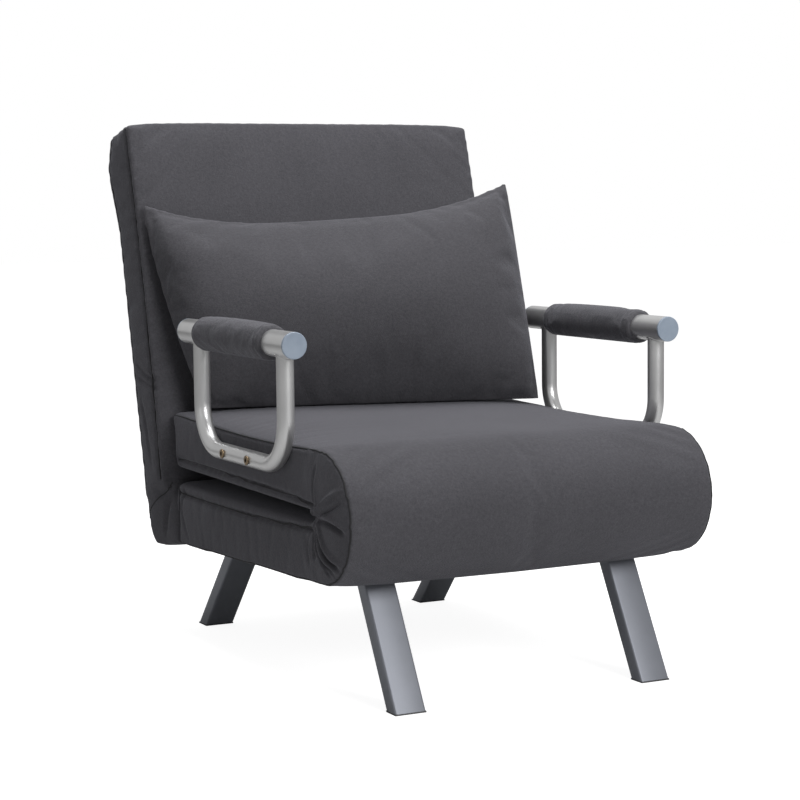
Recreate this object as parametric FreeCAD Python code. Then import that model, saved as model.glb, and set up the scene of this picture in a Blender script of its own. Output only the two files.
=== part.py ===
import FreeCAD, Part
import math
import os

# Convertible chair bed. Millimetres, +Z up, the chair faces -Y, the floor is Z = 0.
# One mattress in three sections (base, seat, back) over a steel tube frame.

# Driving dimensions: where the sections lie
LYING_HEIGHT = 255.0  # top of the base section, and of the whole bed when it is open
FOLD_GAP = 18.0  # open gap between the base and the seat section
FRAME_DEPTH = 52.0  # from a lying surface down to the middle of its frame
FRONT_PIVOT_Y = -344.0
REAR_PIVOT_Y = 250.0
BACK_LEAN = 13.4  # degrees from upright
SEAT_HALF_WIDTH = 293.0
BACK_HALF_WIDTH = 315.0
FOLD_HALF_WIDTH = 302.0  # the rear fold, between the widths of the base and the back
FIT = 0.3  # between pieces that lie against each other
RUN_FIT = 0.06  # radial play of a pin in its hole

# Mattress sections
SEAT_SEAM_HEIGHT = 360.0  # side seams of the seat's top
SEAT_CROWN = 10.0
SEAT_REAR_RISE = 4.0  # the seat rises a little towards the backrest
SEAT_REAR_CLEAR = 5.0  # from the backrest's face
SEAT_SIDE_SAG = 7.0
BASE_REAR_Y = 198.0
BASE_REAR_BOTTOM = 152.0
COVER_CROWN = 4.0  # of the faces that lie against another section
COVER_EDGE = 12.0  # rolled edge along the fold gap
SEAM_ROUND = 16.0
ROLL_RADIUS = 94.0  # front roll at its two ends
ROLL_CROWN = 11.0
ROLL_WALL = 14.0
ROLL_SETBACK = 18.0  # the sections end this far behind the front pivot
END_WALL = 12.0
FOLD_WALL = 12.0
HEEL_Y = 292.0  # lower rear corner of the rear fold
HEEL_Z = 140.0
HEEL_ROUND = 26.0
BACK_FOOT = 42.0  # where the back section starts, along the back from the rear pivot
BACK_TOP = 626.0
BACK_REAR = 31.0  # rear face behind the middle of the frame
BACK_FACE_SWELL = 9.0
BACK_REAR_SWELL = 3.0
HEAD_START = 470.0
HEAD_PEAK = 585.0
HEAD_DEPTH = 66.0
HEAD_RIDGE = 36.0  # the top edge lies this far behind the middle of the frame
HEAD_ROUND = 2.0
HEAD_CROWN = 12.0
BACK_CROWN = 5.0
BACK_CROWN_FRONT = 1.0
BACK_CROWN_REAR = 2.0

# Frames
RAIL = 25.0
RAIL_WALL = 1.5
PLATE = 4.0
PLATE_GAP = 0.5
SEAT_RAIL_X = 267.5
WIRE_RADIUS = 2.0
WIRE_COUNT = 9
FOAM_THICKNESS = 22.0
FOAM_MARGIN = 6.0
POCKET_SIDE = 12.0  # cover left beside the frame pocket
POCKET_BELOW_SEAT = 38.0
POCKET_ABOVE_SEAT = 18.5
POCKET_BELOW_BASE = 23.0
POCKET_ABOVE_BASE = 36.0
POCKET_BACK_FRONT = 38.0
POCKET_BACK_REAR = 15.0
SEAT_REAR_WALL = 26.0
BACK_TOP_WALL = 60.0
RAIL_START = 24.0  # from the front pivot to the ends of the base and seat rails

# Legs
LEG_X = 198.9
LEG_WIDTH = 47.6
LEG_DEPTH = 25.0
LEG_WALL = 1.6
FRONT_FOOT_Y = -428.0
REAR_FOOT_Y = 300.0
FRONT_LEG_LEAN = 29.0
REAR_LEG_LEAN = 42.0
PLUG_FLANGE = 2.0
PLUG_STEM = 18.0
LEG_PLATE_HALF_DEPTH = 15.0
LEG_PLATE_INNER = 54.0  # from the leg's middle to the plate's inner edge
LEG_SLOT_PLAY = 3.0
BOLT_RADIUS = 4.0
BOLT_HEAD_RADIUS = 6.5
BOLT_HEAD = 4.0
BOLT_REACH = 12.0
INNER_BOLT_OFFSET = 40.0

# Hinges
HINGE_PIN_RADIUS = 5.0
PIN_HEAD_RADIUS = 9.0
PIN_HEAD = 3.0
HINGE_PLATE_LENGTH = 70.0
HINGE_STRAP_SET = 2.0  # the straps of the front hinge stand this far behind its pivot
RATCHET_RADIUS = 18.0
NOTCH_DEPTH = 3.0
NOTCH_COUNT = 5
NOTCH_STEP = 15.0
FIRST_NOTCH = 17.0  # degrees past the pawl when the back is up
PAWL_BEARING = 232.0  # where the pawl's tip meets the toothed plate, seen from its left
PAWL_HALF_WIDTH = 5.0
PAWL_LENGTH = 25.0
PAWL_SET = 75.0  # degrees between the pawl and the radius through its tip
PAWL_EAR_HALF_WIDTH = 7.0  # of the ear that carries the pawl's pin
PAWL_TIP_GAP = 0.6
PAWL_PIN_RADIUS = 3.0
PAWL_HEAD_RADIUS = 4.6

# Armrests
ARM_X = 307.0
ARM_HEIGHT = 500.0
BAR_RADIUS = 19.0
BAR_WALL = 1.5
BAR_FRONT_Y = -296.0
BAR_REAR_Y = 100.0
LOOP_RADIUS = 12.5
LOOP_WALL = 1.5
LOOP_FRONT_Y = -265.0
LOOP_REAR_Y = 49.0
LOOP_DROP = 2.0  # the loop's bottom run above the middle of the seat frame
LOOP_BEND = 66.0
CAP_FLANGE = 3.0
CAP_STEM = 14.0
SLEEVE_FRONT_Y = -225.0
SLEEVE_REAR_Y = 30.0
SLEEVE_RADIUS = 27.0
SLEEVE_END_RADIUS = 24.5
SLEEVE_EDGE = 6.0
SCREW_RADIUS = 4.0
SCREW_HEAD_RADIUS = 7.0
SCREW_HEAD = 2.5
SCREW_REACH = 12.0
SCREW_PITCH = 93.0
SCREW_MIDDLE_Y = -106.0
SPACER_RADIUS = 9.0

# Support under the head end of the open bed
SUPPORT_ALONG = 430.0
SUPPORT_BEHIND = 52.0
SUPPORT_X = 170.0
SUPPORT_RADIUS = 9.5
SUPPORT_WALL = 1.2
SUPPORT_BEND = 38.0
SUPPORT_FLOOR_GAP = 1.0
SUPPORT_PIN_RADIUS = 4.0
SUPPORT_PIN_HEAD_RADIUS = 6.4
BRACKET_HALF_WIDTH = 11.0
SLOT_PLAY = 1.0

# Pillow
PILLOW_HALF_LENGTH = 301.0
PILLOW_HEIGHT = 312.0  # at the middle of its length
PILLOW_TOP_EAR = 41.0  # the upper corners stand this much above the middle of the upper seam
PILLOW_FOOT_EAR = 8.0
PILLOW_FRONT = 78.0  # depth before and behind its seams
PILLOW_REAR = 55.5
PILLOW_END = 6.0
PILLOW_LEAN = 19.7
PILLOW_TURN = 15.0  # its right end stands forward
PILLOW_TILT = 3.1  # and higher
PILLOW_FOOT_X = -25.0
PILLOW_FOOT_Y = 98.0
PILLOW_REST = 0.5  # its foot above the middle line of the seat's top, which bows a little

# Derived places
FRONT_PIVOT_Z = LYING_HEIGHT + FOLD_GAP / 2
BASE_FRAME_Z = LYING_HEIGHT - FRAME_DEPTH
SEAT_FRAME_Z = 2 * FRONT_PIVOT_Z - BASE_FRAME_Z
SEAT_UNDERSIDE = LYING_HEIGHT + FOLD_GAP
REAR_PIVOT_Z = BASE_FRAME_Z
SECTION_FRONT_Y = FRONT_PIVOT_Y + ROLL_SETBACK
ROLL_Z = SEAT_SEAM_HEIGHT - ROLL_RADIUS
LEAN = math.radians(BACK_LEAN)
HALF_RAIL = RAIL / 2
SEAT_RAIL_INNER = SEAT_RAIL_X - HALF_RAIL
SEAT_RAIL_OUTER = SEAT_RAIL_X + HALF_RAIL
OUTER_PLATE = SEAT_RAIL_INNER - PLATE
INNER_PLATE = OUTER_PLATE - PLATE_GAP - PLATE
BASE_RAIL_X = INNER_PLATE - HALF_RAIL
RAIL_FRONT_Y = FRONT_PIVOT_Y + RAIL_START
POCKET_X = SEAT_HALF_WIDTH - POCKET_SIDE
LEG_TOP = BASE_FRAME_Z - HALF_RAIL - PLATE
LEG_SLOT_FOOT = HEEL_Z - SEAM_ROUND  # below every cover
LOOP_Z = SEAT_FRAME_Z + LOOP_DROP
FRONT_PLATE_END = RAIL_FRONT_Y + HINGE_PLATE_LENGTH
BACK_PLATE_END = BACK_FOOT + HINGE_PLATE_LENGTH / 2
SIDES = (-1, 1)

os.makedirs("parts", exist_ok=True)


# Helpers
def vec(x, y, z):
    return FreeCAD.Vector(x, y, z)


def block(x0, x1, y0, y1, z0, z1):
    low = vec(min(x0, x1), min(y0, y1), min(z0, z1))
    return Part.makeBox(abs(x1 - x0), abs(y1 - y0), abs(z1 - z0), low)


def rod(start, end, radius):
    way = end - start
    return Part.makeCylinder(radius, way.Length, start, way)


def rod_x(x0, x1, y, z, radius):
    return rod(vec(min(x0, x1), y, z), vec(max(x0, x1), y, z), radius)


def ring_tube_x(x0, x1, y, z, radius, bore):
    return rod_x(x0, x1, y, z, radius).cut(rod_x(x0, x1, y, z, bore))


def group(shapes):
    return Part.makeCompound([solid for shape in shapes for solid in shape.Solids])


def save(name, shape):
    shape.exportStep("parts/" + name + ".step")


def on_back(shape):
    """Turns a shape from the back's own upright frame, which starts at the rear pivot, into place."""
    turned = shape.copy()
    turned.rotate(vec(0, 0, 0), vec(1, 0, 0), -BACK_LEAN)
    turned.translate(vec(0, REAR_PIVOT_Y, REAR_PIVOT_Z))
    return turned


def back_point(behind, along):
    y = REAR_PIVOT_Y + behind * math.cos(LEAN) + along * math.sin(LEAN)
    z = REAR_PIVOT_Z - behind * math.sin(LEAN) + along * math.cos(LEAN)
    return (y, z)


def outline(x, corners):
    """A closed outline at x. Each corner is (y, z, setback, bulge of the side that follows it)."""
    count = len(corners)
    points = [vec(x, c[0], c[1]) for c in corners]
    ways = []
    for i in range(count):
        way = points[(i + 1) % count] - points[i]
        ways.append(way.normalize())
    edges = []
    for i in range(count):
        after = (i + 1) % count
        start = points[i] + ways[i] * corners[i][2]
        end = points[after] - ways[i] * corners[after][2]
        bulge = corners[i][3]
        if bulge:
            outward = vec(0, ways[i].z, -ways[i].y)
            middle = (start + end) * 0.5 + outward * bulge
            edges.append(Part.Arc(start, middle, end).toShape())
        else:
            edges.append(Part.LineSegment(start, end).toShape())
        setback = corners[after][2]
        if setback:
            leave = points[after] + ways[after] * setback
            half = (math.pi - ways[i].getAngle(ways[after])) / 2
            bisector = (ways[after] - ways[i]).normalize()
            reach = setback / math.cos(half) - setback * math.tan(half)
            edges.append(Part.Arc(end, points[after] + bisector * reach, leave).toShape())
    return Part.Wire(edges)


CROWN_STATIONS = (1.0, 0.985, 0.94, 0.85, 0.6, 0.3)


def crown_share(station):
    return 1.0 - station ** 6


def crowned(half_width, corners_at):
    """A loft across the width through outlines that swell from the side seams to the middle."""
    wires = []
    stations = [-s for s in CROWN_STATIONS] + [0.0] + list(reversed(CROWN_STATIONS))
    for station in stations:
        wires.append(outline(station * half_width, corners_at(crown_share(abs(station)))))
    return Part.makeLoft(wires, True, False)


def prism_x(x0, x1, points):
    wire = Part.makePolygon([vec(x0, y, z) for y, z in points + points[:1]])
    return Part.Face(wire).extrude(vec(x1 - x0, 0, 0))


def link(points, half_width, x0, x1):
    """A flat steel strap in a plane of the YZ plane's direction, with round ends and corners."""
    shape = None
    for y, z in points:
        disc = rod_x(x0, x1, y, z, half_width)
        shape = disc if shape is None else shape.fuse(disc)
    for (y0, z0), (y1, z1) in zip(points, points[1:]):
        length = math.hypot(y1 - y0, z1 - z0)
        side_y = -(z1 - z0) / length * half_width
        side_z = (y1 - y0) / length * half_width
        corners = [
            (y0 + side_y, z0 + side_z),
            (y1 + side_y, z1 + side_z),
            (y1 - side_y, z1 - side_z),
            (y0 - side_y, z0 - side_z),
        ]
        shape = shape.fuse(prism_x(min(x0, x1), max(x0, x1), corners))
    return shape.removeSplitter()


def rail_along_y(x, y0, y1, z):
    outer = block(x - HALF_RAIL, x + HALF_RAIL, y0, y1, z - HALF_RAIL, z + HALF_RAIL)
    hollow = HALF_RAIL - RAIL_WALL
    return outer.cut(block(x - hollow, x + hollow, y0, y1, z - hollow, z + hollow))


def rail_along_x(half_length, y, z):
    outer = block(-half_length, half_length, y - HALF_RAIL, y + HALF_RAIL, z - HALF_RAIL, z + HALF_RAIL)
    hollow = HALF_RAIL - RAIL_WALL
    return outer.cut(block(-half_length, half_length, y - hollow, y + hollow, z - hollow, z + hollow))


def rail_along_z(x, y, z0, z1):
    outer = block(x - HALF_RAIL, x + HALF_RAIL, y - HALF_RAIL, y + HALF_RAIL, z0, z1)
    hollow = HALF_RAIL - RAIL_WALL
    return outer.cut(block(x - hollow, x + hollow, y - hollow, y + hollow, z0, z1))


def bent_tube(points, bend, radius, wall):
    """A round tube along straight runs joined by arcs of one radius."""
    edges = []
    start = points[0]
    for before, corner, after in zip(points, points[1:], points[2:]):
        into = (corner - before).normalize()
        out = (after - corner).normalize()
        half = into.getAngle(out) / 2
        setback = bend * math.tan(half)
        arrive = corner - into * setback
        leave = corner + out * setback
        inward = (out - into).normalize()
        reach = bend / math.cos(half) - bend
        edges.append(Part.LineSegment(start, arrive).toShape())
        edges.append(Part.Arc(arrive, corner + inward * reach, leave).toShape())
        start = leave
    edges.append(Part.LineSegment(start, points[-1]).toShape())
    path = Part.Wire(edges)
    heading = (points[1] - points[0]).normalize()
    outer = path.makePipeShell([Part.Wire(Part.makeCircle(radius, points[0], heading))], True, False)
    bore = path.makePipeShell([Part.Wire(Part.makeCircle(radius - wall, points[0], heading))], True, False)
    return outer.cut(bore)


# Legs and what fastens them
def leg_corners(foot_y, lean, outward, depth, z0, z1, grow=0.0):
    """The side outline of a leaning leg between two heights. outward is -1 in front, 1 behind."""
    slope = math.tan(math.radians(lean))
    run = depth / math.cos(math.radians(lean))
    edge0 = foot_y - outward * z0 * slope + outward * grow
    edge1 = foot_y - outward * z1 * slope + outward * grow
    return [
        (edge0, z0),
        (edge1, z1),
        (edge1 - outward * (run + 2 * grow), z1),
        (edge0 - outward * (run + 2 * grow), z0),
    ]


def leg_bar(side, foot_y, lean, outward, inset, z0, z1, grow=0.0):
    slant = math.cos(math.radians(lean))
    edge = foot_y - outward * inset / slant
    corners = leg_corners(edge, lean, outward, LEG_DEPTH - 2 * inset, z0, z1, grow)
    half = LEG_WIDTH / 2 - inset + grow
    return prism_x(side * LEG_X - half, side * LEG_X + half, corners)


FRONT_LEG = (FRONT_FOOT_Y, FRONT_LEG_LEAN, -1)
REAR_LEG = (REAR_FOOT_Y, REAR_LEG_LEAN, 1)


def leg(side, place):
    outer = leg_bar(side, *place, 0.0, PLUG_FLANGE, LEG_TOP)
    return outer.cut(leg_bar(side, *place, LEG_WALL, 0.0, LEG_TOP))


def leg_plug(side, place):
    flange = leg_bar(side, *place, 0.0, 0.0, PLUG_FLANGE)
    stem = leg_bar(side, *place, LEG_WALL + RUN_FIT, PLUG_FLANGE / 2, PLUG_STEM)
    return flange.fuse(stem).removeSplitter()


def leg_top_y(place):
    foot_y, lean, outward = place
    slope = math.tan(math.radians(lean))
    run = LEG_DEPTH / math.cos(math.radians(lean))
    return foot_y - outward * (LEG_TOP * slope + run / 2)


FRONT_CROSS_Y = leg_top_y(FRONT_LEG)
REAR_CROSS_Y = leg_top_y(REAR_LEG)
END_CROSS_Y = BASE_REAR_Y - HALF_RAIL - FOLD_WALL
BASE_CROSS_PLACES = (FRONT_CROSS_Y, (FRONT_CROSS_Y + REAR_CROSS_Y) / 2, REAR_CROSS_Y, END_CROSS_Y)
BOLT_PLACES = tuple((side * x, leg_top_y(place)) for side in SIDES for place in (FRONT_LEG, REAR_LEG)
                    for x in (LEG_X - INNER_BOLT_OFFSET, BASE_RAIL_X))


def make_legs():
    names = {(-1, FRONT_LEG): "front_left_leg", (1, FRONT_LEG): "front_right_leg",
             (-1, REAR_LEG): "rear_left_leg", (1, REAR_LEG): "rear_right_leg"}
    for (side, place), name in names.items():
        save(name, leg(side, place))
    save("leg_plugs", group([leg_plug(side, place) for side, place in names]))
    plates = []
    for side, place in names:
        inner = side * (LEG_X - LEG_PLATE_INNER)
        outer = side * (BASE_RAIL_X + HALF_RAIL)
        middle = leg_top_y(place)
        plate = block(inner, outer, middle - LEG_PLATE_HALF_DEPTH, middle + LEG_PLATE_HALF_DEPTH,
                      LEG_TOP, LEG_TOP + PLATE)
        plates.append(plate.cut(bolt_holes(BOLT_RADIUS + FIT)))
    save("leg_plates", group(plates))
    bolts = []
    for x, y in BOLT_PLACES:
        head = rod(vec(x, y, LEG_TOP - BOLT_HEAD), vec(x, y, LEG_TOP), BOLT_HEAD_RADIUS)
        shank = rod(vec(x, y, LEG_TOP - BOLT_HEAD / 2), vec(x, y, LEG_TOP + BOLT_REACH), BOLT_RADIUS)
        bolts.append(head.fuse(shank).removeSplitter())
    save("leg_bolts", group(bolts))


def bolt_holes(radius):
    holes = [rod(vec(x, y, LEG_TOP - BOLT_HEAD), vec(x, y, BASE_FRAME_Z), radius) for x, y in BOLT_PLACES]
    return Part.makeCompound(holes)


# Base section
def make_base_frame():
    holes = bolt_holes(BOLT_RADIUS + RUN_FIT)
    sides = [rail_along_y(side * BASE_RAIL_X, RAIL_FRONT_Y, BASE_REAR_Y - FOLD_WALL, BASE_FRAME_Z).cut(holes)
             for side in SIDES]
    save("base_side_rails", group(sides))
    reach = BASE_RAIL_X - HALF_RAIL
    cross = [rail_along_x(reach, y, BASE_FRAME_Z).cut(holes) for y in BASE_CROSS_PLACES]
    save("base_cross_rails", group(cross))
    wires = [rod_x(-reach, reach, y, BASE_FRAME_Z, WIRE_RADIUS)
             for y in wire_places(FRONT_CROSS_Y, END_CROSS_Y, BASE_CROSS_PLACES)]
    save("base_wires", group(wires))


def wire_places(first, last, rails):
    """Places at a steady step from the first rail to the last, where no rail is in the way."""
    step = (last - first) / (WIRE_COUNT + 1)
    places = [first + step * number for number in range(1, WIRE_COUNT + 1)]
    return [at for at in places if min(abs(at - rail) for rail in rails) > HALF_RAIL + 2 * WIRE_RADIUS]


def foam_slab(y0, y1, z0, z1):
    half = POCKET_X - FOAM_MARGIN
    slab = block(-half, half, y0, y1, z0, z1)
    upright = [edge for edge in slab.Edges if edge.BoundBox.ZLength > FOAM_THICKNESS / 2]
    return slab.makeFillet(SEAM_ROUND, upright)


def base_corners(share):
    front_bottom = ROLL_Z - ROLL_RADIUS - ROLL_CROWN * share
    crown = COVER_CROWN * share
    return [
        (SECTION_FRONT_Y, front_bottom, 0, 0),
        (BASE_REAR_Y, BASE_REAR_BOTTOM - crown, 0, 0),
        (BASE_REAR_Y, LYING_HEIGHT - COVER_CROWN + crown, COVER_EDGE, 0),
        (SECTION_FRONT_Y, LYING_HEIGHT - COVER_CROWN + crown, COVER_EDGE, 0),
    ]


def make_base_cover():
    cover = crowned(SEAT_HALF_WIDTH, base_corners)
    pocket = block(-POCKET_X, POCKET_X, SECTION_FRONT_Y - COVER_EDGE, BASE_REAR_Y + COVER_EDGE,
                   BASE_FRAME_Z - POCKET_BELOW_BASE, BASE_FRAME_Z + POCKET_ABOVE_BASE)
    cover = cover.cut(pocket)
    for side in SIDES:
        for place in (FRONT_LEG, REAR_LEG):
            cover = cover.cut(leg_bar(side, *place, 0.0, LEG_SLOT_FOOT, LEG_TOP, LEG_SLOT_PLAY))
    save("base_cover", cover)
    foam_top = BASE_FRAME_Z + POCKET_ABOVE_BASE - FIT
    save("base_foam", foam_slab(SECTION_FRONT_Y + COVER_EDGE, BASE_REAR_Y - COVER_EDGE,
                                BASE_FRAME_Z + HALF_RAIL + FIT, foam_top))


# Seat section
def seat_rear_y(z):
    """The seat's rear face follows the backrest's face."""
    face_y, face_z = back_point(-FRAME_DEPTH, 0)
    return face_y + (z - face_z) * math.tan(LEAN) - SEAT_REAR_CLEAR


def seat_corners(share):
    crown = SEAT_CROWN * share
    front_top = ROLL_Z + ROLL_RADIUS + ROLL_CROWN * share
    rear_top = SEAT_SEAM_HEIGHT + SEAT_REAR_RISE + crown
    under = SEAT_UNDERSIDE + COVER_CROWN * (1 - share)
    sag = -SEAT_SIDE_SAG * (1 - share) + FIT
    return [
        (SECTION_FRONT_Y, under, COVER_EDGE, 0),
        (seat_rear_y(under) - FIT, under, COVER_EDGE, 0),
        (seat_rear_y(rear_top) - BACK_FACE_SWELL, rear_top, SEAM_ROUND * 2, sag),
        (SECTION_FRONT_Y, front_top, 0, 0),
    ]


SEAT_POCKET_REAR = seat_rear_y(SEAT_UNDERSIDE) - SEAT_REAR_WALL
SEAT_CROSS_PLACES = (RAIL_FRONT_Y + HALF_RAIL, (RAIL_FRONT_Y + SEAT_POCKET_REAR) / 2,
                     SEAT_POCKET_REAR - HALF_RAIL - FIT)


def screw_places():
    return [SCREW_MIDDLE_Y - SCREW_PITCH / 2, SCREW_MIDDLE_Y + SCREW_PITCH / 2]


def screw_bores(side, x0, x1, radius):
    return Part.makeCompound([rod_x(side * x0, side * x1, y, LOOP_Z, radius) for y in screw_places()])


def make_seat_frame():
    rear = SEAT_POCKET_REAR - FIT
    rails = []
    for side in SIDES:
        rail = rail_along_y(side * SEAT_RAIL_X, RAIL_FRONT_Y, rear, SEAT_FRAME_Z)
        rails.append(rail.cut(screw_bores(side, SEAT_RAIL_X, SEAT_RAIL_OUTER, SCREW_RADIUS + RUN_FIT)))
    save("seat_side_rails", group(rails))
    cross = [rail_along_x(seat_reach(y), y, SEAT_FRAME_Z) for y in SEAT_CROSS_PLACES]
    save("seat_cross_rails", group(cross))
    wires = [rod_x(-seat_reach(y), seat_reach(y), y, SEAT_FRAME_Z, WIRE_RADIUS)
             for y in wire_places(SEAT_CROSS_PLACES[0], SEAT_CROSS_PLACES[-1], SEAT_CROSS_PLACES)]
    save("seat_wires", group(wires))


def seat_reach(y):
    """Half the clear width between the seat's rails, less the hinge plates where they stand."""
    plated = y < FRONT_PLATE_END + HALF_RAIL + WIRE_RADIUS
    return OUTER_PLATE if plated else SEAT_RAIL_INNER


def make_seat_cover():
    cover = crowned(SEAT_HALF_WIDTH, seat_corners)
    pocket = block(-POCKET_X, POCKET_X, SECTION_FRONT_Y - COVER_EDGE, SEAT_POCKET_REAR,
                   SEAT_FRAME_Z - POCKET_BELOW_SEAT, SEAT_FRAME_Z + POCKET_ABOVE_SEAT)
    cover = cover.cut(pocket)
    for side in SIDES:
        cover = cover.cut(screw_bores(side, SEAT_RAIL_X, ARM_X, SPACER_RADIUS + FIT))
    save("seat_cover", cover)
    foam_low = SEAT_FRAME_Z - POCKET_BELOW_SEAT + FIT
    save("seat_foam", foam_slab(SECTION_FRONT_Y + COVER_EDGE, SEAT_POCKET_REAR - FIT,
                                foam_low, SEAT_FRAME_Z - HALF_RAIL - FIT))


# Back section, in its own upright frame: Y behind the frame, Z along the back from the rear pivot
def back_corners(share):
    crown = BACK_CROWN * share
    front = -FRAME_DEPTH - BACK_CROWN_FRONT * share
    rear = BACK_REAR + BACK_CROWN_REAR * share
    top = BACK_TOP + HEAD_CROWN * share
    return [
        (front, BACK_FOOT, 0, 0),
        (rear, BACK_FOOT, 0, BACK_REAR_SWELL),
        (rear, HEAD_START, 0, 0),
        (HEAD_DEPTH + crown, HEAD_PEAK - SEAM_ROUND, SEAM_ROUND, 0),
        (HEAD_RIDGE, top, SEAM_ROUND, HEAD_ROUND),
        (front + SEAM_ROUND / 4, top, SEAM_ROUND, BACK_FACE_SWELL + crown),
    ]


def support_slots(play):
    slots = []
    for side in SIDES:
        inner = side * (SUPPORT_X + SUPPORT_RADIUS + PLATE_GAP - play)
        outer = side * (SUPPORT_X + SUPPORT_RADIUS + PLATE_GAP + PLATE + play)
        half = BRACKET_HALF_WIDTH + play
        slots.append(block(inner, outer, HALF_RAIL, HEAD_DEPTH, SUPPORT_ALONG - half, SUPPORT_ALONG + half))
    return Part.makeCompound(slots)


def make_back_cover():
    cover = crowned(BACK_HALF_WIDTH, back_corners)
    pocket = block(-POCKET_X, POCKET_X, -POCKET_BACK_FRONT, POCKET_BACK_REAR,
                   BACK_FOOT - COVER_EDGE, BACK_TOP - BACK_TOP_WALL)
    cover = cover.cut(pocket).cut(support_slots(SLOT_PLAY))
    save("back_cover", on_back(cover))
    half = POCKET_X - FOAM_MARGIN
    slab = block(-half, half, -POCKET_BACK_FRONT + FIT, -HALF_RAIL - FIT,
                 BACK_FOOT + COVER_EDGE, BACK_TOP - BACK_TOP_WALL - FIT)
    across = [edge for edge in slab.Edges if edge.BoundBox.YLength > FOAM_THICKNESS / 2]
    save("back_foam", on_back(slab.makeFillet(SEAM_ROUND, across)))


BACK_RAIL_TOP = BACK_TOP - BACK_TOP_WALL - FIT
BACK_RAIL_FOOT = BACK_FOOT + FIT
BACK_CROSS_PLACES = (BACK_RAIL_FOOT + HALF_RAIL + PLATE, SUPPORT_ALONG, BACK_RAIL_TOP - HALF_RAIL)


def make_back_frame():
    sides = [rail_along_z(side * SEAT_RAIL_X, 0, BACK_RAIL_FOOT, BACK_RAIL_TOP) for side in SIDES]
    save("back_side_rails", on_back(group(sides)))
    cross = [rail_along_x(back_reach(along), 0, along) for along in BACK_CROSS_PLACES]
    save("back_cross_rails", on_back(group(cross)))
    wires = [rod_x(-back_reach(along), back_reach(along), 0, along, WIRE_RADIUS)
             for along in wire_places(BACK_CROSS_PLACES[0], BACK_CROSS_PLACES[-1], BACK_CROSS_PLACES)]
    save("back_wires", on_back(group(wires)))


def back_reach(along):
    plated = along < BACK_PLATE_END + HALF_RAIL + WIRE_RADIUS
    return OUTER_PLATE if plated else SEAT_RAIL_INNER


# Folds of the mattress between its sections
def roll_wire(x, share):
    radius = ROLL_RADIUS + ROLL_CROWN * share
    end_y = SECTION_FRONT_Y - FIT
    slant = radius * math.sqrt(0.5)
    top = vec(x, FRONT_PIVOT_Y, ROLL_Z + radius)
    front = vec(x, FRONT_PIVOT_Y - radius, ROLL_Z)
    bottom = vec(x, FRONT_PIVOT_Y, ROLL_Z - radius)
    upper_middle = vec(x, FRONT_PIVOT_Y - slant, ROLL_Z + slant)
    lower_middle = vec(x, FRONT_PIVOT_Y - slant, ROLL_Z - slant)
    end_low = vec(x, end_y, ROLL_Z - radius)
    end_high = vec(x, end_y, ROLL_Z + radius)
    return Part.Wire([
        Part.LineSegment(end_high, top).toShape(),
        Part.Arc(top, upper_middle, front).toShape(),
        Part.Arc(front, lower_middle, bottom).toShape(),
        Part.LineSegment(bottom, end_low).toShape(),
        Part.LineSegment(end_low, end_high).toShape(),
    ])


def make_front_fold():
    stations = [-s for s in CROWN_STATIONS] + [0.0] + list(reversed(CROWN_STATIONS))
    wires = [roll_wire(s * SEAT_HALF_WIDTH, crown_share(abs(s))) for s in stations]
    roll = Part.makeLoft(wires, True, False)
    inner = ROLL_RADIUS - ROLL_WALL
    reach = SEAT_HALF_WIDTH - END_WALL
    hollow = rod_x(-reach, reach, FRONT_PIVOT_Y, ROLL_Z, inner)
    mouth = block(-reach, reach, FRONT_PIVOT_Y, SECTION_FRONT_Y + FIT, ROLL_Z - inner, ROLL_Z + inner)
    roll = roll.cut(hollow.fuse(mouth))
    for side in SIDES:
        roll = roll.cut(leg_bar(side, *FRONT_LEG, 0.0, LEG_SLOT_FOOT, LEG_TOP, LEG_SLOT_PLAY))
    save("front_fold", roll)


def heel_corners(share):
    """The rear fold's outline: from the base section round the heel to the foot of the back."""
    foot = BACK_FOOT - FIT
    rear_y, rear_z = back_point(BACK_REAR + BACK_CROWN_REAR * share, foot)
    face_y, face_z = back_point(-FRAME_DEPTH, foot)
    return [
        (BASE_REAR_Y + FIT, BASE_REAR_BOTTOM - COVER_CROWN * share, 0, 0),
        (HEEL_Y, HEEL_Z - COVER_CROWN * share, HEEL_ROUND, 0),
        (rear_y, rear_z, 0, 0),
        (face_y, face_z, 0, 0),
        (BASE_REAR_Y + FIT, LYING_HEIGHT - COVER_CROWN, 0, 0),
    ]


def make_rear_fold():
    fold = crowned(FOLD_HALF_WIDTH, heel_corners)
    reach = POCKET_X
    rear = back_point(BACK_REAR - FOLD_WALL, 2 * BACK_FOOT)
    heel = back_point(BACK_REAR - FOLD_WALL, 0)
    face = back_point(-FRAME_DEPTH + FOLD_WALL, 2 * BACK_FOOT)
    hollow = prism_x(-reach, reach, [
        (BASE_REAR_Y - FOLD_WALL, BASE_REAR_BOTTOM + FOLD_WALL),
        (HEEL_Y - HEEL_ROUND, HEEL_Z + FOLD_WALL + COVER_CROWN),
        heel,
        rear,
        face,
        (BASE_REAR_Y - FOLD_WALL, LYING_HEIGHT - FOLD_WALL),
    ])
    save("rear_fold", fold.cut(hollow))


# Hinges
def plate_pair(x_inner, build):
    return [build(side * x_inner, side * (x_inner + PLATE)) for side in SIDES]


def hole_at(x0, x1, place, radius):
    return rod_x(x0, x1, place[0], place[1], radius)


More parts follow.
